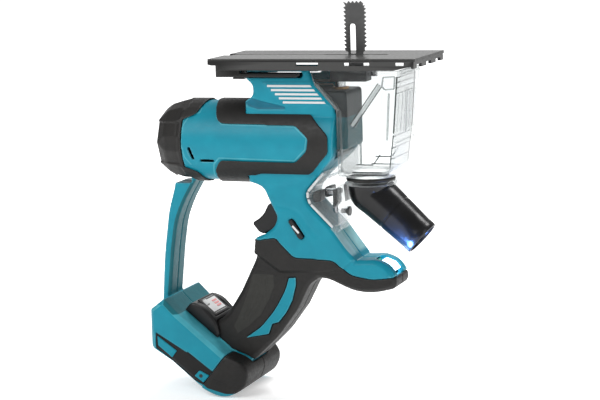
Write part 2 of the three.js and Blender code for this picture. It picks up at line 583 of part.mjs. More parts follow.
// ---- Work light ----
const lensOutline = [[17.5, -151.2], [24.5, -153.8], [28.4, -158.4], [24, -161], [15, -156]];
piece('led_lens', slab(lensOutline, 7.9), CLEAR);
const ledBoardOutline = [[11.6, -151.8], [13.2, -151.4], [14, -157.2], [12.4, -157.6]].reverse();
piece('led_board', slab(ledBoardOutline, 7), BOARD_GREEN);

// ---- Base plate, its rails and latch ----
const skirtWindows = [[-33.3, -16.3], [3.1, 22.3], [41.4, 47.8]];
const plateOutline = [
  [PLATE.back, 0], [PLATE.back, -PLATE.thick], [PLATE.front, -PLATE.thick], [PLATE.front, 0],
];
const skirtOutline = [
  [PLATE.back + 8, -PLATE.thick - 2.6], [PLATE.back + 8, -PLATE.skirt, 1.5], [40, -PLATE.skirt, 1.5],
  [PLATE.front - 3, -5.5], [PLATE.front - 3, -1], [PLATE.back, -1], [PLATE.back, -4.2],
  [PLATE.back + 3, -4.8],
];
const plate = cut(
  join(
    slab(plateOutline, PLATE.half, { bevel: 0.8, steps: 1 }),
    prism(skirtOutline, -PLATE.half + 0.5, -PLATE.half + 2.5),
    prism(skirtOutline, PLATE.half - 2.5, PLATE.half - 0.5),
    block(PLATE.front - 3, PLATE.front - 0.8, -PLATE.half + 0.5, PLATE.half - 0.5, -7, -1),
  ),
  ...skirtWindows.map(([x0, x1]) => block(x0, x1, -50, 50, -5, -2.7)),
  ...[-24, 0, 24].map((y) => block(50, 60, y - 6, y + 6, -9, -4.5)),
  slab([[SLOT.back, 3], [SLOT.front, 3], [SLOT.front, -9], [SLOT.back, -9]], SLOT.half),
  block(PLATE.back - 1, PLATE.back + 6, -6, 6, -9, 3),
  block(PLATE.back - 1, SLOT.back + 1, -1.2, 1.2, -0.9, 1),
);
piece('base_plate', plate, PLATE_BLACK);

const railBar = (y0, y1) => join(
  prism([[-101, -14.5], [-101, -11.5], [-37, -11.5, 1.45], [-37, -14.5, 1.45]], y0, y1),
  block(-101, -82, y0, y1, -14.5, -PLATE.thick - GAP),
);
piece('rail_near', railBar(-25.5, -19.4), PLATE_BLACK);
piece('rail_far', railBar(19.4, 25.5), PLATE_BLACK);
const bridge = block(-101, -84.5, -19.1, 19.1, -10, -PLATE.thick - GAP);
const latchNotch = block(-97, -80, -9.4, 9.4, -12, -4.8);
piece('rail_bridge', cut(bridge, rodY(-91, -8.2, -30, 30, 1.5 + GAP), latchNotch), PLATE_BLACK);
piece('latch_pin', rodY(-91, -8.2, -18.9, 18.9, 1.5), STEEL);
piece('base_latch', cut(
  join(block(-94, -85, -9, 9, -17.5, -10.3), rodY(-91, -8.2, -9, 9, 3)),
  rodY(-91, -8.2, -30, 30, 1.5 + GAP),
), PLASTIC_BLACK);

// ---- Dust box, its outlet and the nozzle ----
const boxOutline = [
  [-27, -9.6], [20, -9.6], [41, -9.6], [36.8, -55], [33, -82], [29, -87], [-8.2, -87],
  [-8.2, -38], [-25.4, -18.2],
];
const boxHollow = [
  [-40, 0], [20, 0], [38.9, 0], [34.9, -55], [31.2, -81.4, 4], [28, -85.1, 3], [-5, -85.1],
  [-5, -69], [-20, -69], [-20, -36], [-40, -14],
];
const dustBox = cut(
  join(
    slab(boxOutline, 25, { bevel: 1.5 }),
    rodZ(OUTLET.x, 0, OUTLET.bottom, OUTLET.top, OUTLET.tube, OUTLET.tube, 28),
    rodZ(OUTLET.x, 0, -89.2, -86.5, OUTLET.flange, OUTLET.flange, 28),
    rodZ(OUTLET.x, 0, OUTLET.bottom, -92.4, OUTLET.flange, OUTLET.flange, 28),
  ),
  slab(boxHollow, 23.2),
  rodZ(OUTLET.x, 0, -100, -80, OUTLET.bore, OUTLET.bore, 28),
  slab([[-60, -100], [-8.7, -100], [-8.7, -37], [-26.4, -16.5], [-29.8, -8], [-60, -8]], 30.5),
);
piece('dust_box', dustBox, CLEAR);
piece('o_ring', cut(
  rodZ(OUTLET.x, 0, -92.1, -89.5, 18.4, 18.4, 28),
  rodZ(OUTLET.x, 0, -95, -85, OUTLET.tube + GAP, OUTLET.tube + GAP, 28),
), RUBBER_BLACK);

const NOZZLE_TOP = OUTLET.bottom - GAP;
const ELBOW_Z = NOZZLE_TOP - 5;
function alongNozzle(geometry) {
  geometry.rotateZ(-Math.PI / 2);
  geometry.rotateY(THREE.MathUtils.degToRad(NOZZLE.slope));
  geometry.translate(OUTLET.x, 0, ELBOW_Z);
  return solid(geometry);
}
function nozzleCone(r0, r1, from, to) {
  const geometry = new THREE.CylinderGeometry(r1, r0, to - from, 20);
  geometry.translate(0, (from + to) / 2, 0);
  return alongNozzle(geometry);
}
function elbowBall(r) {
  const ball = new THREE.SphereGeometry(r, 20, 8);
  ball.rotateX(Math.PI / 2);
  ball.translate(OUTLET.x, 0, ELBOW_Z);
  return solid(ball);
}
const belowCollar = block(-40, 90, -40, 40, -200, NOZZLE_TOP);
const nozzleOuter = join(
  elbowBall(16.6), rodZ(OUTLET.x, 0, ELBOW_Z, NOZZLE_TOP + 2, 16.8, 17.2, 20),
  nozzleCone(NOZZLE.rootR, NOZZLE.tipR, 0, NOZZLE.length), nozzleCone(14.1, 14.1, 48, NOZZLE.length - 1),
).intersect(belowCollar);
const nozzleInner = join(
  elbowBall(16.6 - NOZZLE.wall - 0.6), rodZ(OUTLET.x, 0, ELBOW_Z, NOZZLE_TOP + 2, 14.2, 14.2, 20),
  nozzleCone(NOZZLE.rootR - NOZZLE.wall, NOZZLE.tipR - NOZZLE.wall, 0, NOZZLE.length + 2),
);
piece('dust_nozzle', cut(nozzleOuter, nozzleInner), PLASTIC_BLACK);

// ---- Clear lower cover, with its pin and screw ----
const coverOutline = [
  [-9.4, -96], [-21.4, -84.4], [-34.7, -99.4, 2], [-35, -104, 3], [-32.9, -108.6, 2], [-14.3, -127.1],
  [-12.2, -129.6], [-9.4, -127],
].reverse();
const coverHollow = [
  [-11.2, -92], [-20, -87.6], [-33, -100.2, 2], [-33.4, -104, 3], [-31.4, -108.2, 2], [-14.8, -124.8],
  [-11.2, -124.8],
].reverse();
piece('lower_cover', cut(slab(coverOutline, 19.5), slab(coverHollow, 18), rodX(-15, 0, 0, -116, 2.4)), CLEAR);
const latchPin = join(rodZ(-19, 0, -117.6, -103, 2, 2, 12), block(-26.5, -14.5, -5, 5, -103.2, -99.6));
piece('cover_pin', latchPin, PLASTIC_BLACK);
piece('cover_screw', join(rodX(-14.5, -8.6, 0, -116, 1.9, 1.9, 12), rodX(-9.1, -7.4, 0, -116, 3.6, 3.6, 12)),
  DARK_STEEL);

saw.position.x = -ORIGIN_AHEAD;
export default saw;
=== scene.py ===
import json
import math

import bmesh
import bpy
import numpy as np
from mathutils import Matrix, Vector

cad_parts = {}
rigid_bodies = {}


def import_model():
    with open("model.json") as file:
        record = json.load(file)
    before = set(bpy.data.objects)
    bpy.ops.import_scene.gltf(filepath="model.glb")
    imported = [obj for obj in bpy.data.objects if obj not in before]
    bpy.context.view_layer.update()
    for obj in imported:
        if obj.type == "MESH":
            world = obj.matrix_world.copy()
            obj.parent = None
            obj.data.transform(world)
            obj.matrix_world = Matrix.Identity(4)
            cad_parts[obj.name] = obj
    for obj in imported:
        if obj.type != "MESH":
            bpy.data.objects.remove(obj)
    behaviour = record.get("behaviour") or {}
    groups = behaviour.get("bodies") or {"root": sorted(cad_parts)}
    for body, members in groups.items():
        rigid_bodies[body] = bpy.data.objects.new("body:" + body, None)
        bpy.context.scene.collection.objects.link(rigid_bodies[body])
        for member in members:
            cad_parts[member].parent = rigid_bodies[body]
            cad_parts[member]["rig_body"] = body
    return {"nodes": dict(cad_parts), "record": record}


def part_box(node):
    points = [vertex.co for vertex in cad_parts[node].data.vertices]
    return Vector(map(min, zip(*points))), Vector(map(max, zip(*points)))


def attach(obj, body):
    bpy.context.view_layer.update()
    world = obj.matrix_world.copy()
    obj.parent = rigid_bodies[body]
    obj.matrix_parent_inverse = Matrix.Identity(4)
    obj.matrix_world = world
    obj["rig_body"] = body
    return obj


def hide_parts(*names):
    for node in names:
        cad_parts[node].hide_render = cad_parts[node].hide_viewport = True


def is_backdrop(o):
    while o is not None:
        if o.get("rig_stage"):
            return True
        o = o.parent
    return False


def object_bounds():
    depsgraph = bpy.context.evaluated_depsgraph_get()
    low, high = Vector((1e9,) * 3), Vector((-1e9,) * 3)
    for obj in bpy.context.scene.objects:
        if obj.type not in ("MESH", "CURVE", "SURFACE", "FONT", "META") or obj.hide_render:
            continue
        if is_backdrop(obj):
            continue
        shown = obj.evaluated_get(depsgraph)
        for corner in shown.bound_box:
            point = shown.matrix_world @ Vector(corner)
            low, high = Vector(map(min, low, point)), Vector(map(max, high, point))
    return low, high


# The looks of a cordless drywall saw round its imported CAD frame.
# Lengths are metres. Outlines are drawn in millimetres from the blade's axis (x) and the work face (z).
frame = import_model()
CAD_LOW, CAD_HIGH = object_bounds()
NODES = frame["nodes"]

MM = 0.001
BLADE_LOW, BLADE_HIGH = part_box("blade")
BLADE_X = (BLADE_LOW.x + BLADE_HIGH.x) / 2
MOTOR_LOW, MOTOR_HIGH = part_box("motor_can")
BARREL_Z = (MOTOR_LOW.z + MOTOR_HIGH.z) / 2
BARREL_R = 30 * MM
BAND_R = 31.6 * MM
BARREL_ENDS = (-129, -11)
FOOT_SLOPE = math.radians(39)
WELD = 1e-6
SIDES = (("near", -1), ("far", 1))


def at(x, y, z):
    """A point drawn in millimetres, in the row frame."""
    return Vector((BLADE_X + x * MM, y * MM, z * MM))


# ---- Materials ----

CLOUD_SCALE = 90.0
POLISH_SCALE = 400.0
PAINT_EDGE = 0.12
GRAIN_STRENGTH = 0.35


def nodes_of(name):
    """A new material, with its node tree and its shader."""
    material = bpy.data.materials.new(name)
    material.use_nodes = True
    tree = material.node_tree
    return material, tree, tree.nodes["Principled BSDF"]


def noise(tree, scale, detail=3.0):
    """A noise texture in the piece's own coordinates. Scale is in repeats per metre."""
    place = tree.nodes.new("ShaderNodeTexCoord")
    texture = tree.nodes.new("ShaderNodeTexNoise")
    texture.inputs["Scale"].default_value = scale
    texture.inputs["Detail"].default_value = detail
    tree.links.new(place.outputs["Object"], texture.inputs["Vector"])
    return texture.outputs["Fac"]


def between(tree, value, low, high, start=0.3, end=0.7):
    """A value spread over a range."""
    spread = tree.nodes.new("ShaderNodeMapRange")
    spread.inputs["From Min"].default_value = start
    spread.inputs["From Max"].default_value = end
    spread.inputs["To Min"].default_value = low
    spread.inputs["To Max"].default_value = high
    tree.links.new(value, spread.inputs["Value"])
    return spread.outputs["Result"]


def mixed(tree, share, first, second):
    """Two colours mixed by a share."""
    mix = tree.nodes.new("ShaderNodeMix")
    mix.data_type = "RGBA"
    tree.links.new(share, mix.inputs["Factor"])
    for socket, colour in (("A", first), ("B", second)):
        side = [s for s in mix.inputs if s.name == socket and s.type == "RGBA"][0]
        if isinstance(colour, tuple):
            side.default_value = (*colour, 1.0)
        else:
            tree.links.new(colour, side)
    return [s for s in mix.outputs if s.type == "RGBA"][0]


def bumped(tree, shader, height, strength, distance):
    """Bump on a shader, from a height and a distance in metres."""
    bump = tree.nodes.new("ShaderNodeBump")
    bump.inputs["Strength"].default_value = strength
    bump.inputs["Distance"].default_value = distance
    tree.links.new(height, bump.inputs["Height"])
    tree.links.new(bump.outputs["Normal"], shader.inputs["Normal"])


def surface(name, colour, dark, edge, rough, grain, depth, metallic=0.0, specular=0.5, paints=()):
    """A moulded or machined surface: cloudy colour between two tones, a painted highlight in the edge colour
    on its sharper edges, a fine grain.
    Each paint is (attribute, colour): the colour lies where that attribute is over one."""
    material, tree, shader = nodes_of(name)
    clouds = between(tree, noise(tree, CLOUD_SCALE), 0.0, 1.0)
    body = mixed(tree, clouds, colour, dark)
    form = tree.nodes.new("ShaderNodeNewGeometry")
    # Painted highlight: sharp convex edges take the lighter edge colour, in place of the light that rounded
    # edges catch.
    painted_edge_highlight = between(tree, form.outputs["Pointiness"], 0.0, 1.0, 0.52, 0.60)
    shown = mixed(tree, painted_edge_highlight, body, edge)
    for channel, tone in paints:
        mask = tree.nodes.new("ShaderNodeAttribute")
        mask.attribute_name = f"paint_{channel}"
        share = between(tree, mask.outputs["Fac"], 0.0, 1.0, 1 - PAINT_EDGE, 1 + PAINT_EDGE)
        shown = mixed(tree, share, shown, mixed(tree, clouds, tone, tuple(0.8 * c for c in tone)))
    tree.links.new(shown, shader.inputs["Base Color"])
    polish = between(tree, noise(tree, POLISH_SCALE), rough[0], rough[1])
    tree.links.new(polish, shader.inputs["Roughness"])
    shader.inputs["Metallic"].default_value = metallic
    shader.inputs["Specular IOR Level"].default_value = specular
    bumped(tree, shader, noise(tree, grain, 2.0), GRAIN_STRENGTH, depth)
    return material


def clear(name, tint, veil, rim):
    """Clear plastic: see-through where it faces the eye, glossy where it turns away, and bright there from a
    painted reflection in its rim colour.
    """
    material, tree, shader = nodes_of(name)
    shader.inputs["Base Color"].default_value = (*rim, 1.0)
    shader.inputs["Specular IOR Level"].default_value = 0.7
    tree.links.new(between(tree, noise(tree, 250.0), 0.05, 0.11), shader.inputs["Roughness"])
    bumped(tree, shader, noise(tree, 120.0, 1.0), 0.15, 0.0003)
    through = tree.nodes.new("ShaderNodeBsdfTransparent")
    through.inputs["Color"].default_value = (*tint, 1.0)
    turn = tree.nodes.new("ShaderNodeLayerWeight")
    turn.inputs["Blend"].default_value = 0.35
    share = between(tree, turn.outputs["Facing"], veil[0], veil[1], 0.05, 0.9)
    both = tree.nodes.new("ShaderNodeMixShader")
    tree.links.new(share, both.inputs["Fac"])
    tree.links.new(through.outputs["BSDF"], both.inputs[1])
    tree.links.new(shader.outputs["BSDF"], both.inputs[2])
    tree.links.new(both.outputs["Shader"], tree.nodes["Material Output"].inputs["Surface"])
    return material


def glowing(name, colour, strength):
    """A lit lens with an uneven glow."""
    material, tree, shader = nodes_of(name)
    shader.inputs["Base Color"].default_value = (0.8, 0.9, 1.0, 1.0)
    shader.inputs["Emission Color"].default_value = (*colour, 1.0)
    level = between(tree, noise(tree, 300.0), strength * 0.7, strength * 1.2)
    tree.links.new(level, shader.inputs["Emission Strength"])
    return material


TEAL_TONE = (0.004, 0.235, 0.320)
TEAL_DARK = (0.003, 0.205, 0.285)
# Paint channels on the teal shell: black is the black insets, pale, paler and lit are painted highlights, and
# deep and shade are painted shade.
TEAL_PAINTS = (
    ("black", (0.008, 0.008, 0.008)),
    ("pale", (0.25, 0.50, 0.53)),
    ("paler", (0.36, 0.60, 0.64)),
    ("lit", (0.06, 0.36, 0.44)),
    ("deep", (0.002, 0.13, 0.20)),
    ("shade", (0.012, 0.14, 0.17)),
)
# The third colour given to each surface is the painted highlight on its sharper edges.
TEAL = surface("teal_shell", TEAL_TONE, TEAL_DARK, (0.14, 0.44, 0.52), (0.40, 0.50), 2600.0, 0.00005,
               specular=0.25, paints=TEAL_PAINTS)
TEAL_TRIM = surface("teal_trim", TEAL_TONE, TEAL_DARK, TEAL_TONE, (0.40, 0.50), 2600.0, 0.00005,
                    specular=0.25)
RUBBER = surface("black_rubber", (0.0125, 0.0115, 0.0105), (0.009, 0.0085, 0.008), (0.05, 0.048, 0.045),
                 (0.46, 0.60), 3200.0, 0.00012, specular=0.32,
                 paints=(("teal", TEAL_TONE), ("pad", (0.024, 0.024, 0.021))))
BLACK = surface("black_plastic", (0.009, 0.009, 0.0095), (0.006, 0.006, 0.0065), (0.04, 0.04, 0.04),
                (0.30, 0.40), 2600.0, 0.00005, specular=0.32, paints=(("white", (0.75, 0.75, 0.75)),))
GLOSSY = surface("nozzle_plastic", (0.006, 0.006, 0.0065), (0.004, 0.004, 0.0045), (0.02, 0.02, 0.022),
                 (0.20, 0.27), 2200.0, 0.00003, specular=0.36)
PLATE = surface("black_plate", (0.010, 0.0098, 0.0095), (0.007, 0.0068, 0.0065), (0.05, 0.05, 0.049),
                (0.34, 0.42), 3000.0, 0.00004, specular=0.22)
CAST = surface("cast_case", (0.012, 0.018, 0.020), (0.008, 0.012, 0.014), (0.08, 0.11, 0.12),
               (0.35, 0.50), 1400.0, 0.00012, specular=0.4, paints=(("teal", (0.010, 0.105, 0.125)),))
DARK_STEEL = surface("dark_steel", (0.042, 0.042, 0.043), (0.030, 0.030, 0.031), (0.14, 0.14, 0.14),
                     (0.36, 0.50), 1800.0, 0.00004, metallic=0.4)
BLADE_STEEL = surface("blade_steel", (0.016, 0.016, 0.016), (0.011, 0.011, 0.011), (0.09, 0.09, 0.09),
                      (0.36, 0.50), 1800.0, 0.00004, metallic=0.2, specular=0.3)
BRIGHT_STEEL = surface("bright_steel", (0.50, 0.50, 0.51), (0.38, 0.38, 0.40), (0.8, 0.8, 0.8),
                       (0.18, 0.32), 1600.0, 0.00004, metallic=1.0)
BRONZE = surface("bronze", (0.42, 0.21, 0.09), (0.30, 0.14, 0.06), (0.70, 0.45, 0.25),
                 (0.28, 0.42), 1600.0, 0.00004, metallic=1.0)
BOARD = surface("circuit_board", (0.010, 0.10, 0.04), (0.008, 0.07, 0.03), (0.05, 0.22, 0.10),
                (0.30, 0.40), 900.0, 0.00005)
LABEL = surface("indicator_label", (0.66, 0.67, 0.67), (0.60, 0.61, 0.61), (0.8, 0.8, 0.8),
                (0.25, 0.35), 1800.0, 0.00003)
BADGE = surface("blank_badge", (0.42, 0.43, 0.42), (0.37, 0.38, 0.37), (0.6, 0.6, 0.6),
                (0.30, 0.40), 1800.0, 0.00003)
MARK_RED = surface("red_mark", (0.62, 0.20, 0.22), (0.55, 0.17, 0.19), (0.75, 0.3, 0.3),
                   (0.35, 0.45), 1800.0, 0.00003)
# Each clear plastic's rim colour is a painted reflection where its faces turn from the eye; the corner lines'
# dark tint and rim are painted shade.
CLEAR = clear("clear_plastic", (0.925, 0.935, 0.935), (0.03, 0.75), (0.50, 0.52, 0.52))
CLEAR_LINE = clear("clear_corners", (0.42, 0.44, 0.44), (0.30, 0.80), (0.10, 0.11, 0.11))
CLEAR_COVER = clear("clear_cover", (0.955, 0.965, 0.965), (0.02, 0.50), (0.80, 0.82, 0.82))
CLEAR_WHITE = clear("clear_flange", (0.93, 0.94, 0.94), (0.55, 0.95), (0.86, 0.88, 0.88))
CLEAR_EDGE = clear("clear_ribs", (0.80, 0.82, 0.82), (0.20, 0.85), (0.40, 0.42, 0.42))
GLOW = glowing("led_glow", (0.50, 0.80, 1.0), 5.0)

FINISH = {
    "teal_shell": TEAL, "black_rubber": RUBBER, "black_plastic": BLACK, "indicator_label": LABEL,
    "clear_plastic": CLEAR, "circuit_board": BOARD, "black_plate": PLATE, "cast_case": CAST,
    "dark_steel": DARK_STEEL, "bright_steel": BRIGHT_STEEL, "bronze": BRONZE,
}
SLOT_OF = {s["node"]: s["material_slot"] for s in frame["record"]["subparts"]}


def dress(obj, material):
    """Gives an object one material."""
    obj.data.materials.clear()
    obj.data.materials.append(material)


# ---- Geometry ----

# How far a face turns to the side before relief starts and is full, and how near the middle plane a seam is.
SIDE_FACING = (0.3, 0.75)
SEAM_REACH = 0.3
UNPAINTED = -9.0


def added(name, mesh, material, body, slot, *stands_for):
    """A new piece on a body, with its finish, standing for CAD nodes."""
    obj = bpy.data.objects.new(name, mesh)
    bpy.context.scene.collection.objects.link(obj)
    dress(obj, material)
    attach(obj, body)
    if stands_for:
        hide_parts(*stands_for)
    return obj


def settled(obj):
    """A new mesh with the object's modifiers applied."""
    depsgraph = bpy.context.evaluated_depsgraph_get()
    mesh = bpy.data.meshes.new_from_object(obj.evaluated_get(depsgraph))
    mesh.polygons.foreach_set("use_smooth", [True] * len(mesh.polygons))
    return mesh


def rounded(mesh, voxel, rounds, share=0.5):
    """The mesh as an even skin with its edges rounded, as a moulding's are."""
    obj = bpy.data.objects.new("rounding", mesh)
    bpy.context.scene.collection.objects.link(obj)
    obj.modifiers.new("weld", "WELD").merge_threshold = WELD
    skin = obj.modifiers.new("skin", "REMESH")
    skin.mode = "VOXEL"
    skin.voxel_size = voxel
    soften = obj.modifiers.new("soften", "SMOOTH")
    soften.factor = share
    soften.iterations = rounds
    made = settled(obj)
    bpy.data.objects.remove(obj)
    return made


def mesh_from(bm, name):
    """A mesh made from a bmesh, which is then freed."""
    mesh = bpy.data.meshes.new(name)
    bm.to_mesh(mesh)
    bm.free()
    return mesh


def points_of(mesh):
    """The points of a mesh, one row each."""
    co = np.zeros(len(mesh.vertices) * 3)
    mesh.vertices.foreach_get("co", co)
    return co.reshape(-1, 3)


def normals_of(mesh):
    """The normals at a mesh's points, one row each."""
    normals = np.zeros(len(mesh.vertices) * 3)
    mesh.vertices.foreach_get("normal", normals)
    return normals.reshape(-1, 3)


def move_points(mesh, co):
    """Puts a mesh's points in new places."""
    mesh.vertices.foreach_set("co", co.astype(np.float32).ravel())
    mesh.update()


def line_distance(flat, points, closed=False):
    """How far each (x, z) is from a line through points, in millimetres."""
    ends = points[1:] + points[:1] if closed else points[1:]
    best = np.full(len(flat), np.inf)
    for a, b in zip(points, ends):
        a, b = np.array(a, float), np.array(b, float)
        along = np.clip(((flat - a) @ (b - a)) / max((b - a) @ (b - a), 1e-9), 0, 1)
        best = np.minimum(best, np.linalg.norm(flat - a - along[:, None] * (b - a), axis=1))
    return best


def inside(flat, points):
    """Which (x, z) lie inside a closed outline."""
    hit = np.zeros(len(flat), bool)
    for (x0, z0), (x1, z1) in zip(points, points[1:] + points[:1]):
        if z0 == z1:
            continue
        crosses = (flat[:, 1] > z0) != (flat[:, 1] > z1)
        hit ^= crosses & (flat[:, 0] < (x1 - x0) * (flat[:, 1] - z0) / (z1 - z0) + x0)
    return hit


def eased(value, start, end):
    """A smooth step from 0 at start to 1 at end."""
    t = np.clip((value - start) / (end - start), 0, 1)
    return t * t * (3 - 2 * t)


def painted(mesh, channel, amount):
    """Adds to a paint channel: one, plus the millimetres inside (+) or outside (-) its edge at each point."""
    name = f"paint_{channel}"
    attribute = mesh.attributes.get(name)
    if attribute is None:
        attribute = mesh.attributes.new(name, "FLOAT", "POINT")
        attribute.data.foreach_set("value", np.full(len(mesh.vertices), UNPAINTED, np.float32))
    held = np.empty(len(mesh.vertices), np.float32)
    attribute.data.foreach_get("value", held)
    attribute.data.foreach_set("value", np.maximum(held, amount + 1).astype(np.float32))


def side_relief(mesh, marks, deepest=0.0):
    """Raises (+) or sinks (-) shapes on the outer faces of both sides, in millimetres. Each mark is (kind,
    points, height, edge) and an optional paint channel: a panel is a closed outline with an edge that wide,
    and a groove is a line that wide."""
    co, normals = points_of(mesh), normals_of(mesh)
    flat = (co[:, [0, 2]] - np.array([BLADE_X, 0])) / MM
    outer = (np.sign(normals[:, 1]) == np.sign(co[:, 1])) & (np.abs(co[:, 1]) > deepest * MM)
    weight = eased(np.abs(normals[:, 1]), *SIDE_FACING) * outer
    lift = np.zeros(len(co))
    for kind, points, height, edge, *paint in marks:
        if kind == "panel":
            distance = line_distance(flat, points, closed=True)
            signed = np.where(inside(flat, points), -distance, distance)
            lift += height * (1 - eased(signed, -edge / 2, edge / 2))
        else:
            distance = line_distance(flat, points)
            signed = distance - edge / 2
            lift += height * np.exp(-((2 * distance / edge) ** 2))
        if paint:
            painted(mesh, paint[0], np.where(outer, -signed, UNPAINTED))
    co[:, 1] += np.sign(co[:, 1]) * lift * weight * MM
    move_points(mesh, co)


def true_round(mesh, radius, x_low, x_high, within=0.35):
    """Puts points that are close to the motor barrel's cylinder exactly on it."""
    co = points_of(mesh)
    across = co[:, 1:3] - np.array([0, BARREL_Z])
    r = np.linalg.norm(across, axis=1)
    x = (co[:, 0] - BLADE_X) / MM
    near = (np.abs(r - radius) < within * MM) & (x > x_low) & (x < x_high)
    co[near, 1:3] = across[near] * (radius / r[near])[:, None] + np.array([0, BARREL_Z])
    move_points(mesh, co)


def seam_closed(mesh):
    """Brings the two halves' faces together on the middle plane, where they leave a fine V-groove."""
    co = points_of(mesh)
    co[np.abs(co[:, 1]) < SEAM_REACH * MM, 1] = 0
    move_points(mesh, co)


def moulded(node, voxel=0.7, rounds=6, material=None, marks=(), radius=None, deepest=0.0, tune=None):
    """A CAD node's shape with rounded edges and relief, in its place."""
    mesh = rounded(NODES[node].data.copy(), voxel * MM, rounds)
    if radius:
        true_round(mesh, *radius)
    if marks:
        side_relief(mesh, marks, deepest)
    if tune:
        tune(mesh)
    if node.endswith(("_near", "_far")):
        seam_closed(mesh)
    slot = SLOT_OF[node]
    body = NODES[node]["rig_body"]
    return added(f"{node}_skin", mesh, material or FINISH[slot], body, slot, node)


def prism_mesh(points, y0, y1, bevel=0.0, segments=3):
    """An outline in the XZ plane, in millimetres, drawn out between two y, with rounded edges."""
    bm = bmesh.new()
    ring = [bm.verts.new(at(x, y0, z)) for x, z in points]
    face = bm.faces.new(ring)
    out = bmesh.ops.extrude_face_region(bm, geom=[face])
    moved = [v for v in out["geom"] if isinstance(v, bmesh.types.BMVert)]
    bmesh.ops.translate(bm, verts=moved, vec=(0, (y1 - y0) * MM, 0))
    bmesh.ops.recalc_face_normals(bm, faces=bm.faces)
    if bevel:
        bmesh.ops.bevel(bm, geom=bm.edges[:], offset=bevel * MM, segments=segments, profile=0.5,
                        affect="EDGES", clamp_overlap=True)
    mesh = mesh_from(bm, "prism")
    for p in mesh.polygons:
        p.use_smooth = False
    return mesh


def crisp(node, width=0.35, segments=2, material=None):
    """A CAD node kept as it is, with its edges bevelled as a stamped or machined piece's are."""
    obj = NODES[node]
    obj.modifiers.new("weld", "WELD").merge_threshold = WELD
    flatten = obj.modifiers.new("flatten", "DECIMATE")
    flatten.decimate_type = "DISSOLVE"
    flatten.angle_limit = math.radians(3)
    edge = obj.modifiers.new("edge", "BEVEL")
    edge.width = width * MM
    edge.segments = segments
    edge.limit_method = "ANGLE"
    edge.angle_limit = math.radians(32)
    edge.harden_normals = False
    dress(obj, material or FINISH[SLOT_OF[node]])


# ---- Housing ----

NECK_PANEL = [(-65.5, -18.5), (-28, -18), (-13.5, -35.6), (-47, -36)]
NECK_POCKET = [(-80, -33.6), (-74.5, -30.2), (-64, -32.9), (-49, -36.2), (-48, -38), (-70, -38.2),
               (-77, -36)]
BODY_FLARE = [(-82, -84), (-30, -84), (-40, -91), (-62, -95.5), (-80, -96)]
BODY_ARC = [(-57.3, -110.6), (-50.2, -111.3), (-41.7, -115.2), (-36.2, -122.3), (-28.9, -131.1)]
FOOT_STRIP = [(-153.6, -207.2), (-127.5, -222.2), (-106.6, -238.2), (-104, -250), (-123.6, -243.6),
              (-141.5, -229.2), (-154.2, -220.2)]
FOOT_BLOCK = [(-152.6, -210.0), (-137.0, -220.9), (-141.0, -226.2), (-152.2, -217.4)]
FOOT_SLOT = [(-128.2, -220.6), (-106.8, -236.2), (-107.4, -237.6), (-128.4, -222.0)]
HOOK = [(-118.9, -235.0), (-111.0, -238.8), (-116.0, -244.2), (-123.2, -239.4)]
HOOK_HOLE = [(-119.0, -238.0), (-117.0, -237.6), (-116.0, -239.2), (-117.6, -240.8), (-119.2, -239.8)]
LEDGE = [(-18.0, -127.0), (-6.0, -120.0), (21.0, -143.0), (9.0, -158.0)]
BAND_EDGE = [(-106.6, -34), (-102.4, -44.6), (-97.6, -49.2), (-40.0, -50.2), (-29.8, -58.6), (-31, -66.7),
             (-40.2, -75.4), (-99.6, -74.2), (-104.6, -79), (-108.4, -90)]
CAP_EDGE = [(-113.6, -29), (-117, -36.6), (-117, -41.4), (-123.9, -42.5), (-128.2, -50.4), (-129.2, -63.4),
            (-127.2, -74), (-123.4, -79.8)]
HOUSING_MARKS = [
    ("panel", NECK_PANEL, 0.7, 1.0),
    # Painted shade (deep) in the sunk neck pocket.
    ("panel", NECK_POCKET, -1.2, 1.4, "deep"),
    ("panel", BODY_FLARE, 0.9, 3.5),
    ("groove", BODY_ARC, -0.4, 4.0),
    ("panel", FOOT_STRIP, -1.4, 0.8, "black"),
    ("panel", FOOT_SLOT, -1.0, 0.6, "black"),
    # Painted highlight (lit) along the edges of the band and the cap.
    ("groove", BAND_EDGE, 0.1, 1.0, "lit"),
    ("groove", CAP_EDGE, 0.1, 1.0, "lit"),
]


# The ledge slope's painted highlight: faces turned this way past this facing, and paler on the near side of
# the split.
LEDGE_WAY = (0.67, 0.74)
LEDGE_FACING = 0.8
LEDGE_SPLIT = -7.0
# Behind this x the foot's top gets a painted highlight and the beam's inner face painted shade, each between
# its two heights.
REAR_X = -96
FOOT_TOP_Z = (-240, -186)
BEAM_Z = (-193, -94)


def housing_paint(mesh):
    """Painted highlight on the slope under the clear cover, paler on its near side, painted shade on the
    beam's inner face and a painted highlight on the top of the foot.
    """
    co, normals = points_of(mesh), normals_of(mesh)
    flat = (co[:, [0, 2]] - np.array([BLADE_X, 0])) / MM
    distance = line_distance(flat, LEDGE, closed=True)
    signed = np.where(inside(flat, LEDGE), distance, -distance)
    slope = (normals[:, 0] * LEDGE_WAY[0] + normals[:, 2] * LEDGE_WAY[1] - LEDGE_FACING) * 12
    near_side = LEDGE_SPLIT - co[:, 1] / MM
    painted(mesh, "pale", np.minimum(signed, slope))
    painted(mesh, "paler", np.minimum.reduce([signed, slope, near_side]))
    behind = REAR_X - flat[:, 0]
    height = flat[:, 1]
    faces_up = (normals[:, 2] - 0.3) * 8
    faces_front = (normals[:, 0] - 0.35) * 12
    for channel, (low, high), facing in (("lit", FOOT_TOP_Z, faces_up), ("shade", BEAM_Z, faces_front)):
        painted(mesh, channel, np.minimum.reduce([behind, height - low, high - height, facing]))


for side in ("near", "far"):
    moulded(f"housing_{side}", 0.8, 5, marks=HOUSING_MARKS, radius=(BARREL_R, *BARREL_ENDS), deepest=15,
            tune=housing_paint)
    moulded(f"barrel_band_{side}", 0.6, 5, radius=(BAND_R, *BARREL_ENDS))
    moulded(f"grip_inlay_{side}", 0.45, 3)

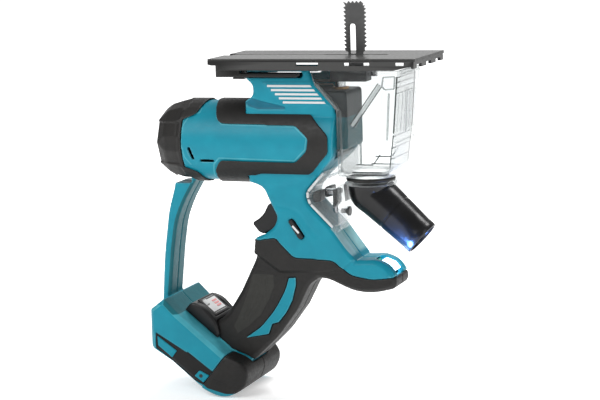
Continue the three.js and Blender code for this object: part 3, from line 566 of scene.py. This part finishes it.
GRIP_PAD = [(-64, -163), (-63.6, -172), (-67.3, -181), (-75, -194), (-85, -203), (-94, -209), (-97, -204),
            (-90, -190), (-83.5, -174), (-80, -163)]
GRIP_MARKS = [
    ("panel", GRIP_PAD, -0.5, 1.2, "pad"),
    ("groove", [(-81.1, -159.6), (-69.4, -160.5), (-55.9, -161.8), (-51.2, -165.3)], -0.4, 1.6),
    ("groove", [(-78.2, -171.4), (-80.3, -177.6), (-83.7, -187.6), (-89.7, -200)], 0.5, 1.2),
    ("groove", [(-73.5, -166.4), (-75.3, -177.6), (-79.7, -188.6), (-87.7, -200)], 0.5, 1.2),
    ("groove", [(-68.8, -166.4), (-70.6, -176.6), (-75.7, -188.6), (-85.2, -200)], 0.5, 1.2),
]
RIM = [(-121, -240.8), (-112.6, -248.0), (-97.8, -251.6), (-80, -251.6), (-80, -257), (-97.8, -256),
       (-113, -253.5), (-124.5, -247)]
FOOT_MARKS = [
    ("panel", RIM, 0.3, 0.8, "teal"),
    ("groove", [(-106.6, -240.8), (-92.7, -245.2), (-83.4, -244.4)], -0.5, 1.2),
]
for side in ("near", "far"):
    moulded(f"grip_cover_{side}", 0.7, 6, marks=GRIP_MARKS, deepest=8)
    moulded(f"foot_cover_{side}", 0.7, 6, marks=FOOT_MARKS, deepest=14)


CAP_MIDDLE = -128
CAP_SIDES = 8
CAP_TILTS = ((50.0, 1.5), (24.0, 0.9))
CAP_FLAT = 30.15
CAP_BAND_DEPTH = 0.9


def cap_facets(mesh):
    """Flat facets round the cap's dome, and a sunk band across its middle."""
    co, normals = points_of(mesh), normals_of(mesh)
    x = (co[:, 0] - BLADE_X) / MM
    y, z = co[:, 1] / MM, (co[:, 2] - BARREL_Z) / MM
    turns = [math.radians(360 / CAP_SIDES * (step + 0.5)) for step in range(CAP_SIDES)]
    for turn in turns:
        for tilt, cut in CAP_TILTS:
            lean = math.radians(tilt)
            n = np.array((-math.cos(lean), math.sin(lean) * math.cos(turn), math.sin(lean) * math.sin(turn)))
            reach = n[0] * x + n[1] * y + n[2] * z
            over = np.maximum(reach - reach.max() + cut, 0)
            x, y, z = x - n[0] * over, y - n[1] * over, z - n[2] * over
    for turn in turns:
        over = np.maximum(y * math.cos(turn) + z * math.sin(turn) - CAP_FLAT, 0) * eased(-x, 126, 130)
        y, z = y - math.cos(turn) * over, z - math.sin(turn) * over
    outer = normals[:, 0] * (x - CAP_MIDDLE) + normals[:, 1] * y + normals[:, 2] * z > 0
    band = (1 - eased(np.abs(z), 15.0, 16.2)) * eased(-x, 131, 134) * outer
    sunk = normals * (band * CAP_BAND_DEPTH)[:, None]
    x, y, z = x - sunk[:, 0], y - sunk[:, 1], z - sunk[:, 2]
    move_points(mesh, np.stack((x * MM + BLADE_X, y * MM, z * MM + BARREL_Z), axis=1))


moulded("rear_cap", 0.6, 3, tune=cap_facets)
moulded("indicator_panel", 0.6, 5)
moulded("trigger", 0.5, 6)
moulded("base_latch", 0.5, 3)

BUTTON_LOW, BUTTON_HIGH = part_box("lock_button")
DASH_ALONG = np.array((0.68, 0, -0.73))
DASH_ACROSS = np.array((0.73, 0, 0.68))
DASH_HALF = (3.6, 0.75)


def button_dash(mesh):
    """A white dash along the lock button's face."""
    co, normals = points_of(mesh), normals_of(mesh)
    away = (co - np.array((BUTTON_LOW + BUTTON_HIGH) / 2)) / MM
    along = DASH_HALF[0] - np.abs(away @ DASH_ALONG)
    across = DASH_HALF[1] - np.abs(away @ DASH_ACROSS)
    face = (np.abs(normals[:, 1]) - 0.6) * 6
    painted(mesh, "white", np.minimum.reduce([along, across, face]))


moulded("lock_button", 0.4, 5, tune=button_dash)


def insert(name, points, y0, y1, material, slot, bevel, segments=2):
    """A trim piece let into both sides: an outline between two distances from the middle plane."""
    for side, sign in SIDES:
        mesh = prism_mesh(points, sign * y0, sign * y1, bevel, segments)
        added(f"{name}_{side}", mesh, material, "housing", slot)


FOOT_SIDE = 36.5
insert("foot_block", FOOT_BLOCK, FOOT_SIDE - 3, FOOT_SIDE - 0.5, TEAL_TRIM, "teal_shell", 0.6)
insert("hook_boss", HOOK, FOOT_SIDE - 3, FOOT_SIDE - 0.4, TEAL_TRIM, "teal_shell", 0.6)
insert("hook_hole", HOOK_HOLE, FOOT_SIDE - 2, FOOT_SIDE - 0.25, BLACK, "black_plastic", 0.15)

# ---- Neck badge: plain bars ----
BADGE_TOP = -21.0
BADGE_PITCH = 3.0
BADGE_HALF = 0.8
for row in range(5):
    z = BADGE_TOP - BADGE_PITCH * row
    low, high = z - BADGE_HALF, z + BADGE_HALF
    left, right = -61.5 + 3.0 * row, -28.0 + 2.6 * row
    bar = [(left, low), (left, high), (right, high), (right + 1.3, low)]
    insert(f"neck_bar_{row + 1}", bar, 19.0, 23.15, BADGE, "indicator_label", 0.15, segments=1)

# ---- Battery indicator: generic bars on its label ----
LENS_LOW, LENS_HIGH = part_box("indicator_lens")


def on_lens(along, across, up):
    """A point on the sloping label: along it to the foot's front, across it, and up from its top face."""
    middle = Vector(((LENS_LOW.x + LENS_HIGH.x) / 2, 0, (LENS_LOW.z + LENS_HIGH.z) / 2))
    slide = Vector((math.cos(FOOT_SLOPE), 0, -math.sin(FOOT_SLOPE)))
    rise = Vector((math.sin(FOOT_SLOPE), 0, math.cos(FOOT_SLOPE)))
    return middle + slide * along * MM + Vector((0, across * MM, 0)) + rise * up * MM


def lens_block(name, along, across, material, top, slot):
    """A thin plate on the label, between two places along it and two across it."""
    bm = bmesh.new()
    vertices = [bm.verts.new(on_lens(u, v, w)) for w in (0.1, top) for u, v in
                ((along[0], across[0]), (along[1], across[0]), (along[1], across[1]), (along[0], across[1]))]
    for face in ((0, 1, 2, 3), (4, 5, 6, 7), (0, 1, 5, 4), (1, 2, 6, 5), (2, 3, 7, 6), (3, 0, 4, 7)):
        bm.faces.new([vertices[i] for i in face])
    bmesh.ops.recalc_face_normals(bm, faces=bm.faces)
    bmesh.ops.bevel(bm, geom=bm.edges[:], offset=0.08 * MM, segments=1, affect="EDGES")
    added(name, mesh_from(bm, name), material, "housing", slot)


def label_paint(mesh):
    """A white window on the black plate, with a dotted border round it."""
    co = points_of(mesh) - np.array(on_lens(0, 0, 0))
    along = co @ np.array((math.cos(FOOT_SLOPE), 0, -math.sin(FOOT_SLOPE))) / MM
    across = co[:, 1] / MM
    window = np.minimum(6.0 - np.abs(along), 11.2 - np.abs(across))
    dots = np.minimum(np.sin(across * 3.6), 0.35 - np.abs(np.abs(along) - 7.2))
    painted(mesh, "white", np.maximum(window, np.minimum(dots, 11.0 - np.abs(across))))


moulded("indicator_lens", 0.35, 4, material=BLACK, tune=label_paint)
moulded("check_button", 0.3, 3, material=LABEL)
for bar in range(3):
    start = -3.4 + 2.6 * bar
    lens_block(f"charge_bar_{bar + 1}", (start, start + 1.5), (1.0, 8.4), MARK_RED, 1.1, "indicator_label")

# ---- Drive, base and blade ----
CASE_SPLIT = -44.0


def case_paint(mesh):
    """The gear case's lower part in a deep teal."""
    painted(mesh, "teal", CASE_SPLIT - points_of(mesh)[:, 2] / MM)


moulded("gear_case", 0.5, 3, tune=case_paint)
moulded("blade_clamp", 0.5, 3)
for node in ("base_plate", "rail_near", "rail_far", "rail_bridge"):
    crisp(node, 0.4)


BLADE_TOOTH = 1.8
BLADE_PITCH = 3.0
BLADE_SHANK = 5.6
BLADE_TEETH_FROM = 2.3
BLADE_TIP_TEETH = 4
# The blade's round front corner: how far its middle is below the tip, its radius at the roots and at the
# teeth, the angle of each tooth, and how far each tooth's root follows it.
BLADE_CORNER_DROP = 5.4
BLADE_CORNER_ROOT, BLADE_CORNER_TOOTH = 3.4, 4.9
BLADE_CORNER_TURNS = (52, 25)
BLADE_CORNER_LEAN = 0.25
BLADE_WINDOW = [(-4.0, 1.2), (-3.6, 0.6), (0, 0.6), (0.4, 1.2), (0.4, 20.8), (-0.1, 22.1), (-1.1, 22.5),
                (-2.5, 22.5), (-3.5, 22.1), (-4.0, 20.8)]


def blade_skin():
    """The saw blade: a thin plate with teeth up its rear edge, over its tip and down its front edge."""
    low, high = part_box("blade")
    half, thick = (high.x - low.x) / 2 / MM, (high.y - low.y) / 2 / MM
    tip, bottom = high.z / MM, low.z / MM
    root, pitch, shank, first = half - BLADE_TOOTH, BLADE_PITCH, BLADE_SHANK, BLADE_TEETH_FROM
    outline = [(-shank, bottom), (-shank, first - 0.3), (-root, first)]
    count = int((tip - 3.2 - first) / pitch)
    for i in range(count):
        z = first + i * pitch
        outline += [(-half, z + 2.1), (-root, z + pitch)]
    outline += [(-half + 0.1, tip - 0.6), (-root + 1.0, tip - 1.9)]
    for i in range(BLADE_TIP_TEETH):
        x = -root + 1.0 + i * pitch
        outline += [(x + 1.3, tip), (x + pitch, tip - 1.7)]
    middle_x, middle_z = root - BLADE_CORNER_ROOT, tip - BLADE_CORNER_DROP
    for turn in BLADE_CORNER_TURNS:
        angle = math.radians(turn)
        after = angle - BLADE_CORNER_LEAN
        for radius, place in ((BLADE_CORNER_TOOTH, angle), (BLADE_CORNER_ROOT, after)):
            outline.append((middle_x + radius * math.cos(place), middle_z + radius * math.sin(place)))
    for i in range(count):
        z = tip - 6.4 - i * pitch
        if z < first + 1:
            break
        outline += [(half, z + 0.7), (root, z - 0.8)]
    outline += [(root, first), (shank, first - 0.3), (shank, bottom)]
    bm = bmesh.new()
    edges = []
    for line in (outline, BLADE_WINDOW):
        ring = [bm.verts.new(at(x, -thick, z)) for x, z in line]
        edges += [bm.edges.new((ring[i], ring[(i + 1) % len(ring)])) for i in range(len(ring))]
    bmesh.ops.triangle_fill(bm, use_beauty=True, edges=edges)
    out = bmesh.ops.extrude_face_region(bm, geom=bm.faces[:])
    moved = [v for v in out["geom"] if isinstance(v, bmesh.types.BMVert)]
    bmesh.ops.translate(bm, verts=moved, vec=(0, 2 * thick * MM, 0))
    bmesh.ops.recalc_face_normals(bm, faces=bm.faces)
    added("blade_skin", mesh_from(bm, "blade_plate"), BLADE_STEEL, "stroke", "dark_steel", "blade")


blade_skin()

# ---- Clear parts and nozzle ----


SIDE_RIB_X = (33.0, 28.0)
FRONT_RIB_Y = (-16.0, -8.4, 0.0, 7.6, 16.0)
BOX_BANDS = ((-19.5, -12.5), (-80.0, -62.0))


def front_ribs(mesh):
    """Upright ribs on the box's front and side walls, and thick bands round its top and its foot."""
    co, normals = points_of(mesh), normals_of(mesh)
    x, y, z = (co[:, 0] - BLADE_X) / MM, co[:, 1] / MM, co[:, 2] / MM
    lift = np.zeros(len(co))
    outer_side = (np.sign(normals[:, 1]) == np.sign(co[:, 1])) & (np.abs(y) > 24)
    outer_front = (normals[:, 0] > 0.5) & (x > 27)
    tall = eased(z, -58, -54) * (1 - eased(z, -27, -24))
    lean = (z + 30) * 0.09
    for place in SIDE_RIB_X:
        lift += 0.8 * np.exp(-(((x - place - lean) / 0.8) ** 2)) * outer_side * tall
    for place in FRONT_RIB_Y:
        lift += 0.9 * np.exp(-(((y - place) / 0.9) ** 2)) * outer_front * tall
    for low, high in BOX_BANDS:
        band = eased(z, low - 1.2, low) * (1 - eased(z, high, high + 1.2))
        lift += 0.8 * band * (outer_side | outer_front) * (x > -4)
    co += normals * (lift * MM)[:, None]
    move_points(mesh, co)


moulded("dust_box", 0.62, 3, tune=front_ribs)
moulded("lower_cover", 0.5, 3, material=CLEAR_COVER)


def clear_bar(name, start, end, width, depth, material=CLEAR_EDGE):
    """A square clear bar between two points, in millimetres, with rounded edges."""
    a, b = at(*start), at(*end)
    way = (b - a).normalized()
    side = way.cross(Vector((1, 0, 0)) if abs(way.y) > 0.9 else Vector((0, 1, 0))).normalized()
    third = side.cross(way)
    bm = bmesh.new()
    rings = []
    for end_point in (a, b):
        ring = [bm.verts.new(end_point + side * u * width * MM / 2 + third * v * depth * MM / 2)
                for u, v in ((-1, -1), (1, -1), (1, 1), (-1, 1))]
        rings.append(ring)
    bm.faces.new(rings[0])
    bm.faces.new(rings[1])
    for i in range(4):
        j = (i + 1) % 4
        bm.faces.new((rings[0][i], rings[0][j], rings[1][j], rings[1][i]))
    bmesh.ops.recalc_face_normals(bm, faces=bm.faces)
    bmesh.ops.bevel(bm, geom=bm.edges[:], offset=min(width, depth) * 0.3 * MM, segments=2, affect="EDGES")
    added(name, mesh_from(bm, name), material, "housing", "clear_plastic")


# The front wall's x at one height, that height, and its lean. It leans more below the bend.
WALL_UPPER = (38.2, -9.6, 0.075)
WALL_LOWER = (34.4, -55, 0.135)


def front_wall(z):
    """Where the inner face of the box's leaning front wall is at a height, in millimetres."""
    x, height, lean = WALL_UPPER if z > WALL_LOWER[1] else WALL_LOWER
    return x + (z - height) * lean


WALL_Y = 22.2
STEP_Y = 21.4
WALL_GAP = 0.6


def wall_bar(name, y, start, finish, width, depth, material=CLEAR_EDGE):
    """A clear bar between two (x, z) on a wall at y."""
    clear_bar(name, (start[0], y, start[1]), (finish[0], y, finish[1]), width, depth, material)


def corner(z):
    """The (x, z) of the box's front corner at a height."""
    return (front_wall(z), z)


# The walls' corners, steps and clips show as dark lines through the clear plastic: the bars there carry
# painted shade for the light that the thick plastic bends away.
# Each row is a bar's name, the (x, z) of its two ends, its width, its depth and its plastic.
BOX_BARS = (
    ("edge", (-24.2, -18.8), (-6.8, -38.6), 2.2, 4.6, CLEAR_EDGE),
    ("rib", (-5.6, -39), (-5.6, -84), 1.5, 1.5, CLEAR_EDGE),
    ("corner", corner(-14), corner(-55), 1.1, 1.1, CLEAR_LINE),
    ("corner_low", corner(-56), corner(-80), 0.8, 0.8, CLEAR_LINE),
    ("sill", (5.7, -78), (18.4, -78), 0.9, 0.9, CLEAR_LINE),
    ("sill_rise", (18.8, -77.6), (24, -70.4), 0.9, 0.9, CLEAR_LINE),
    ("floor_line", (2.3, -83.6), (25, -83.6), 0.9, 0.9, CLEAR_LINE),
    ("wall_line", (31.6, -26), (29.4, -60), 1.5, 0.8, CLEAR_EDGE),
)
for side, sign in SIDES:
    for name, start, finish, width, depth, material in BOX_BARS:
        wall_bar(f"box_{name}_{side}", sign * WALL_Y, start, finish, width, depth, material)
wall_bar("box_strut", -WALL_Y, (25, -20), (3, -50), 2.0, 1.6, CLEAR_WHITE)
wall_bar("box_strut_upper", -WALL_Y, (23.6, -19), (1.6, -49), 0.7, 1.6, CLEAR_LINE)
wall_bar("box_strut_lower", -WALL_Y, (26.4, -21), (4.4, -51), 0.7, 1.6, CLEAR_LINE)
for number, z in enumerate((-15, -18.5, -22.5, -26.5, -57.5, -66, -74)):
    x = front_wall(z) - WALL_GAP
    clear_bar(f"box_step_{number + 1}", (x, -STEP_Y, z), (x, STEP_Y, z), 0.8, 0.9, CLEAR_LINE)
for number, y in enumerate((-12, -3, 7, 15)):
    top, foot = (front_wall(-28) - WALL_GAP, -28), (front_wall(-55) - WALL_GAP, -55)
    wall_bar(f"box_front_rib_{number + 1}", y, top, foot, 0.9, 0.9)
CLIP = ((26.5, -21), (27.5, -14.5), (36.2, -14.0), (35.6, -22.8), (28.5, -23.4), (26.5, -21))
for number, (start, finish) in enumerate(zip(CLIP, CLIP[1:])):
    wall_bar(f"box_clip_{number + 1}", -WALL_Y, start, finish, 1.0, 1.4)
COVER_Y = 18.9
COVER_RIM = (
    ("top", (-21.4, -85.6), (-33.4, -99.0)),
    ("back", (-33.9, -99.8), (-33.9, -104)),
    ("slope", (-33.4, -105), (-32.2, -108.2)),
    ("foot", (-31.6, -108.8), (-14.9, -125.4)),
)
for name, start, finish in COVER_RIM:
    wall_bar(f"cover_rim_{name}", -COVER_Y, start, finish, 1.9, 1.0, CLEAR_WHITE)


def lofted(rings, name):
    """A smooth skin through rings of points, closed both ways."""
    bm = bmesh.new()
    made = [[bm.verts.new(point) for point in ring] for ring in rings]
    steps = len(made[0])
    for first, second in zip(made, made[1:] + made[:1]):
        for i in range(steps):
            j = (i + 1) % steps
            bm.faces.new((first[i], first[j], second[j], second[i]))
    bmesh.ops.recalc_face_normals(bm, faces=bm.faces)
    mesh = mesh_from(bm, name)
    mesh.polygons.foreach_set("use_smooth", [True] * len(mesh.polygons))
    return mesh


# Each row is how far along the nozzle it is, its radius, and how much of the elbow's turn it has made.
NOZZLE_PROFILE = [
    (-5.0, 17.0, 0), (-3.4, 17.0, 0), (-1.2, 16.7, 0), (0.0, 16.5, 0.18), (1.5, 16.35, 0.4),
    (3.0, 16.2, 0.62), (5.0, 16.0, 0.84), (7.5, 15.8, 1), (18, 15.25, 1), (23.0, 15.0, 1), (23.3, 14.6, 1),
    (24.2, 14.6, 1), (24.5, 14.95, 1), (36, 14.35, 1), (46.2, 13.85, 1), (46.8, 14.1, 1), (50.9, 14.0, 1),
    (51.7, 13.6, 1), (52.0, 13.0, 1), (51.8, 12.3, 1), (50.6, 11.8, 1), (40, 12.0, 1), (20, 13.0, 1),
    (8, 13.6, 1), (5.0, 13.8, 0.84), (3.0, 13.9, 0.62), (1.5, 14.0, 0.4), (0.0, 14.1, 0.18),
    (-1.2, 14.2, 0), (-3.4, 14.2, 0), (-5.0, 14.2, 0),
]
NOZZLE_SLOPE = math.radians(42)
NOZZLE_STEPS = 72
ELBOW_X, ELBOW_Z = 9.2, -100.3
ELBOW_PULL = 0.9


def nozzle_skin():
    """The nozzle: a collar under the O-ring, a tight elbow and a tapering tube with a groove and a rim."""
    side = Vector((0, 1, 0))
    rings = []
    for along, radius, turned in NOZZLE_PROFILE:
        angle = turned * (math.pi / 2 - NOZZLE_SLOPE)
        way = Vector((math.sin(angle), 0, -math.cos(angle)))
        reach = along * (ELBOW_PULL if 0 < turned < 1 else 1.0)
        middle = Vector((ELBOW_X + reach * way.x, 0, ELBOW_Z + reach * way.z))
        third = way.cross(side)
        ring = []
        for step in range(NOZZLE_STEPS):
            turn = 2 * math.pi * step / NOZZLE_STEPS
            point = middle + (side * math.cos(turn) + third * math.sin(turn)) * radius
            ring.append(at(point.x, point.y, point.z))
        rings.append(ring)
    mesh = lofted(rings, "nozzle")
    mesh.set_sharp_from_angle(angle=math.radians(48))
    added("dust_nozzle_skin", mesh, GLOSSY, "nozzle", "black_plastic", "dust_nozzle")


def ring_skin():
    """The O-ring in the outlet's groove."""
    low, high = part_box("o_ring")
    middle = (low + high) / 2
    thick = (high.z - low.z) / 2
    wide = (high.x - low.x) / 2 - thick
    steps, section = 96, 16
    rings = []
    for step in range(steps):
        turn = 2 * math.pi * step / steps
        out = Vector((math.cos(turn), math.sin(turn), 0))
        ring = []
        for part in range(section):
            around = 2 * math.pi * part / section
            rise = Vector((0, 0, thick * math.sin(around)))
            ring.append(middle + out * (wide + thick * math.cos(around)) + rise)
        rings.append(ring)
    added("o_ring_skin", lofted(rings, "ring"), RUBBER, "housing", "black_rubber", "o_ring")


nozzle_skin()
ring_skin()
moulded("led_lens", 0.5, 5, material=GLOW)
moulded("cover_pin", 0.45, 4, material=BRIGHT_STEEL)
COVER_BLOCK = [(-31.2, -102.4), (-28.6, -99.2), (-24.2, -98.6), (-24.4, -106.6), (-29.4, -107.6)]
COVER_CATCH = [(-15.2, -97.4), (-11.6, -97.0), (-11.4, -107.6), (-14.0, -110.6)]
insert("cover_block", COVER_BLOCK, 7, 17.4, BLACK, "black_plastic", 0.8)
insert("cover_catch", COVER_CATCH, 7, 17.4, BLACK, "black_plastic", 0.8)

for node, obj in NODES.items():
    if not obj.hide_render and not obj.modifiers:
        crisp(node, 0.2)


# ---- Stage, light and camera ----

AZIMUTH = math.radians(20.5)
ELEVATION = math.radians(9.0)
ROLL = math.radians(1.8)
DISTANCE = 1.4
LENS = 115.08
AIM = at(-35.6, -30.8, -103.6)
FLOOR_GAP = 0.5 * MM
FLOOR_REACH = 4.0
WORLD_LIGHT = 0.30
WORLD_SEEN = 1.1
LAMPS = (
    ("key", (-0.55, -1.0, 0.75), (0.7, 0.6), 10),
    ("fill", (1.0, -0.55, 0.1), (0.4, 0.9), 2.0),
    ("top", (0.05, 0.48, 0.92), (0.6, 0.5), 9),
    ("gloss", (0.50, 0.33, 0.68), (0.35, 0.30), 3.5),
    ("rim", (-0.65, 1.3, 0.35), (1.4, 0.7), 3.2),
)


def stage():
    """A pale floor that grows brighter with distance until it is as white as the world behind it."""
    bm = bmesh.new()
    z = CAD_LOW.z - FLOOR_GAP
    corners = [bm.verts.new((x * FLOOR_REACH, y * FLOOR_REACH, z))
               for x, y in ((-1, -1), (1, -1), (1, 1), (-1, 1))]
    bm.faces.new(corners)
    mesh = mesh_from(bm, "floor")
    floor = bpy.data.objects.new("floor", mesh)
    bpy.context.scene.collection.objects.link(floor)
    material, tree, shader = nodes_of("floor_paper")
    tone = mixed(tree, between(tree, noise(tree, 30.0), 0.0, 1.0), (0.90, 0.90, 0.90), (0.88, 0.88, 0.88))
    tree.links.new(tone, shader.inputs["Base Color"])
    shader.inputs["Roughness"].default_value = 0.9
    shader.inputs["Specular IOR Level"].default_value = 0.1
    shader.inputs["Emission Color"].default_value = (1.0, 1.0, 1.0, 1.0)
    place = tree.nodes.new("ShaderNodeTexCoord")
    reach_out = tree.nodes.new("ShaderNodeVectorMath")
    reach_out.operation = "LENGTH"
    tree.links.new(place.outputs["Object"], reach_out.inputs[0])
    glow = between(tree, reach_out.outputs["Value"], 0.38, 1.2, 0.25, 1.3)
    tree.links.new(glow, shader.inputs["Emission Strength"])
    floor.data.materials.append(material)
    floor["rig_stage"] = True


def lamp(name, place, size, power):
    """A soft white lamp that faces the object."""
    data = bpy.data.lights.new(name, "AREA")
    data.shape = "RECTANGLE"
    data.size, data.size_y = size
    data.energy = power
    obj = bpy.data.objects.new(name, data)
    bpy.context.scene.collection.objects.link(obj)
    obj.location = place
    obj.rotation_mode = "QUATERNION"
    obj.rotation_quaternion = (AIM - Vector(place)).to_track_quat("-Z", "Y")


LED_PLACE = (33, -20, -147)
LED_AIM = (38, -9, -134)


def work_light():
    """The blue spill of the work light on the nozzle."""
    data = bpy.data.lights.new("led", "SPOT")
    data.energy = 0.9
    data.color = (0.12, 0.32, 1.0)
    data.spot_size = math.radians(95)
    data.spot_blend = 0.8
    data.shadow_soft_size = 0.009
    obj = bpy.data.objects.new("led", data)
    bpy.context.scene.collection.objects.link(obj)
    obj.location = at(*LED_PLACE)
    obj.rotation_mode = "QUATERNION"
    obj.rotation_quaternion = (at(*LED_AIM) - obj.location).to_track_quat("-Z", "Y")


def camera():
    """A camera with a slight roll, near the saw's front left and a little above its middle."""
    back = Vector((math.sin(AZIMUTH) * math.cos(ELEVATION), -math.cos(AZIMUTH) * math.cos(ELEVATION),
                   math.sin(ELEVATION)))
    right = (-back).cross(Vector((0, 0, 1))).normalized()
    up = right.cross(-back)
    rolled_right = right * math.cos(ROLL) - up * math.sin(ROLL)
    rolled_up = right * math.sin(ROLL) + up * math.cos(ROLL)
    data = bpy.data.cameras.new("camera")
    data.lens = LENS
    data.sensor_width = 36.0
    data.clip_start, data.clip_end = 0.05, 50.0
    obj = bpy.data.objects.new("camera", data)
    bpy.context.scene.collection.objects.link(obj)
    axes = Matrix((rolled_right, rolled_up, back)).transposed()
    obj.matrix_world = Matrix.Translation(AIM + back * DISTANCE) @ axes.to_4x4()
    bpy.context.scene.camera = obj


def world():
    """A white surround that lights the object less than it shows behind it."""
    made = bpy.data.worlds.new("studio")
    bpy.context.scene.world = made
    made.use_nodes = True
    tree = made.node_tree
    sky = tree.nodes["Background"]
    sky.inputs["Color"].default_value = (1.0, 1.0, 1.0, 1.0)
    path = tree.nodes.new("ShaderNodeLightPath")
    level = between(tree, path.outputs["Is Camera Ray"], WORLD_LIGHT, WORLD_SEEN, 0.0, 1.0)
    tree.links.new(level, sky.inputs["Strength"])


stage()
world()
camera()
bpy.context.scene.view_settings.view_transform = "Standard"
for name, place, size, power in LAMPS:
    lamp(name, place, size, power)
work_light()

low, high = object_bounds()
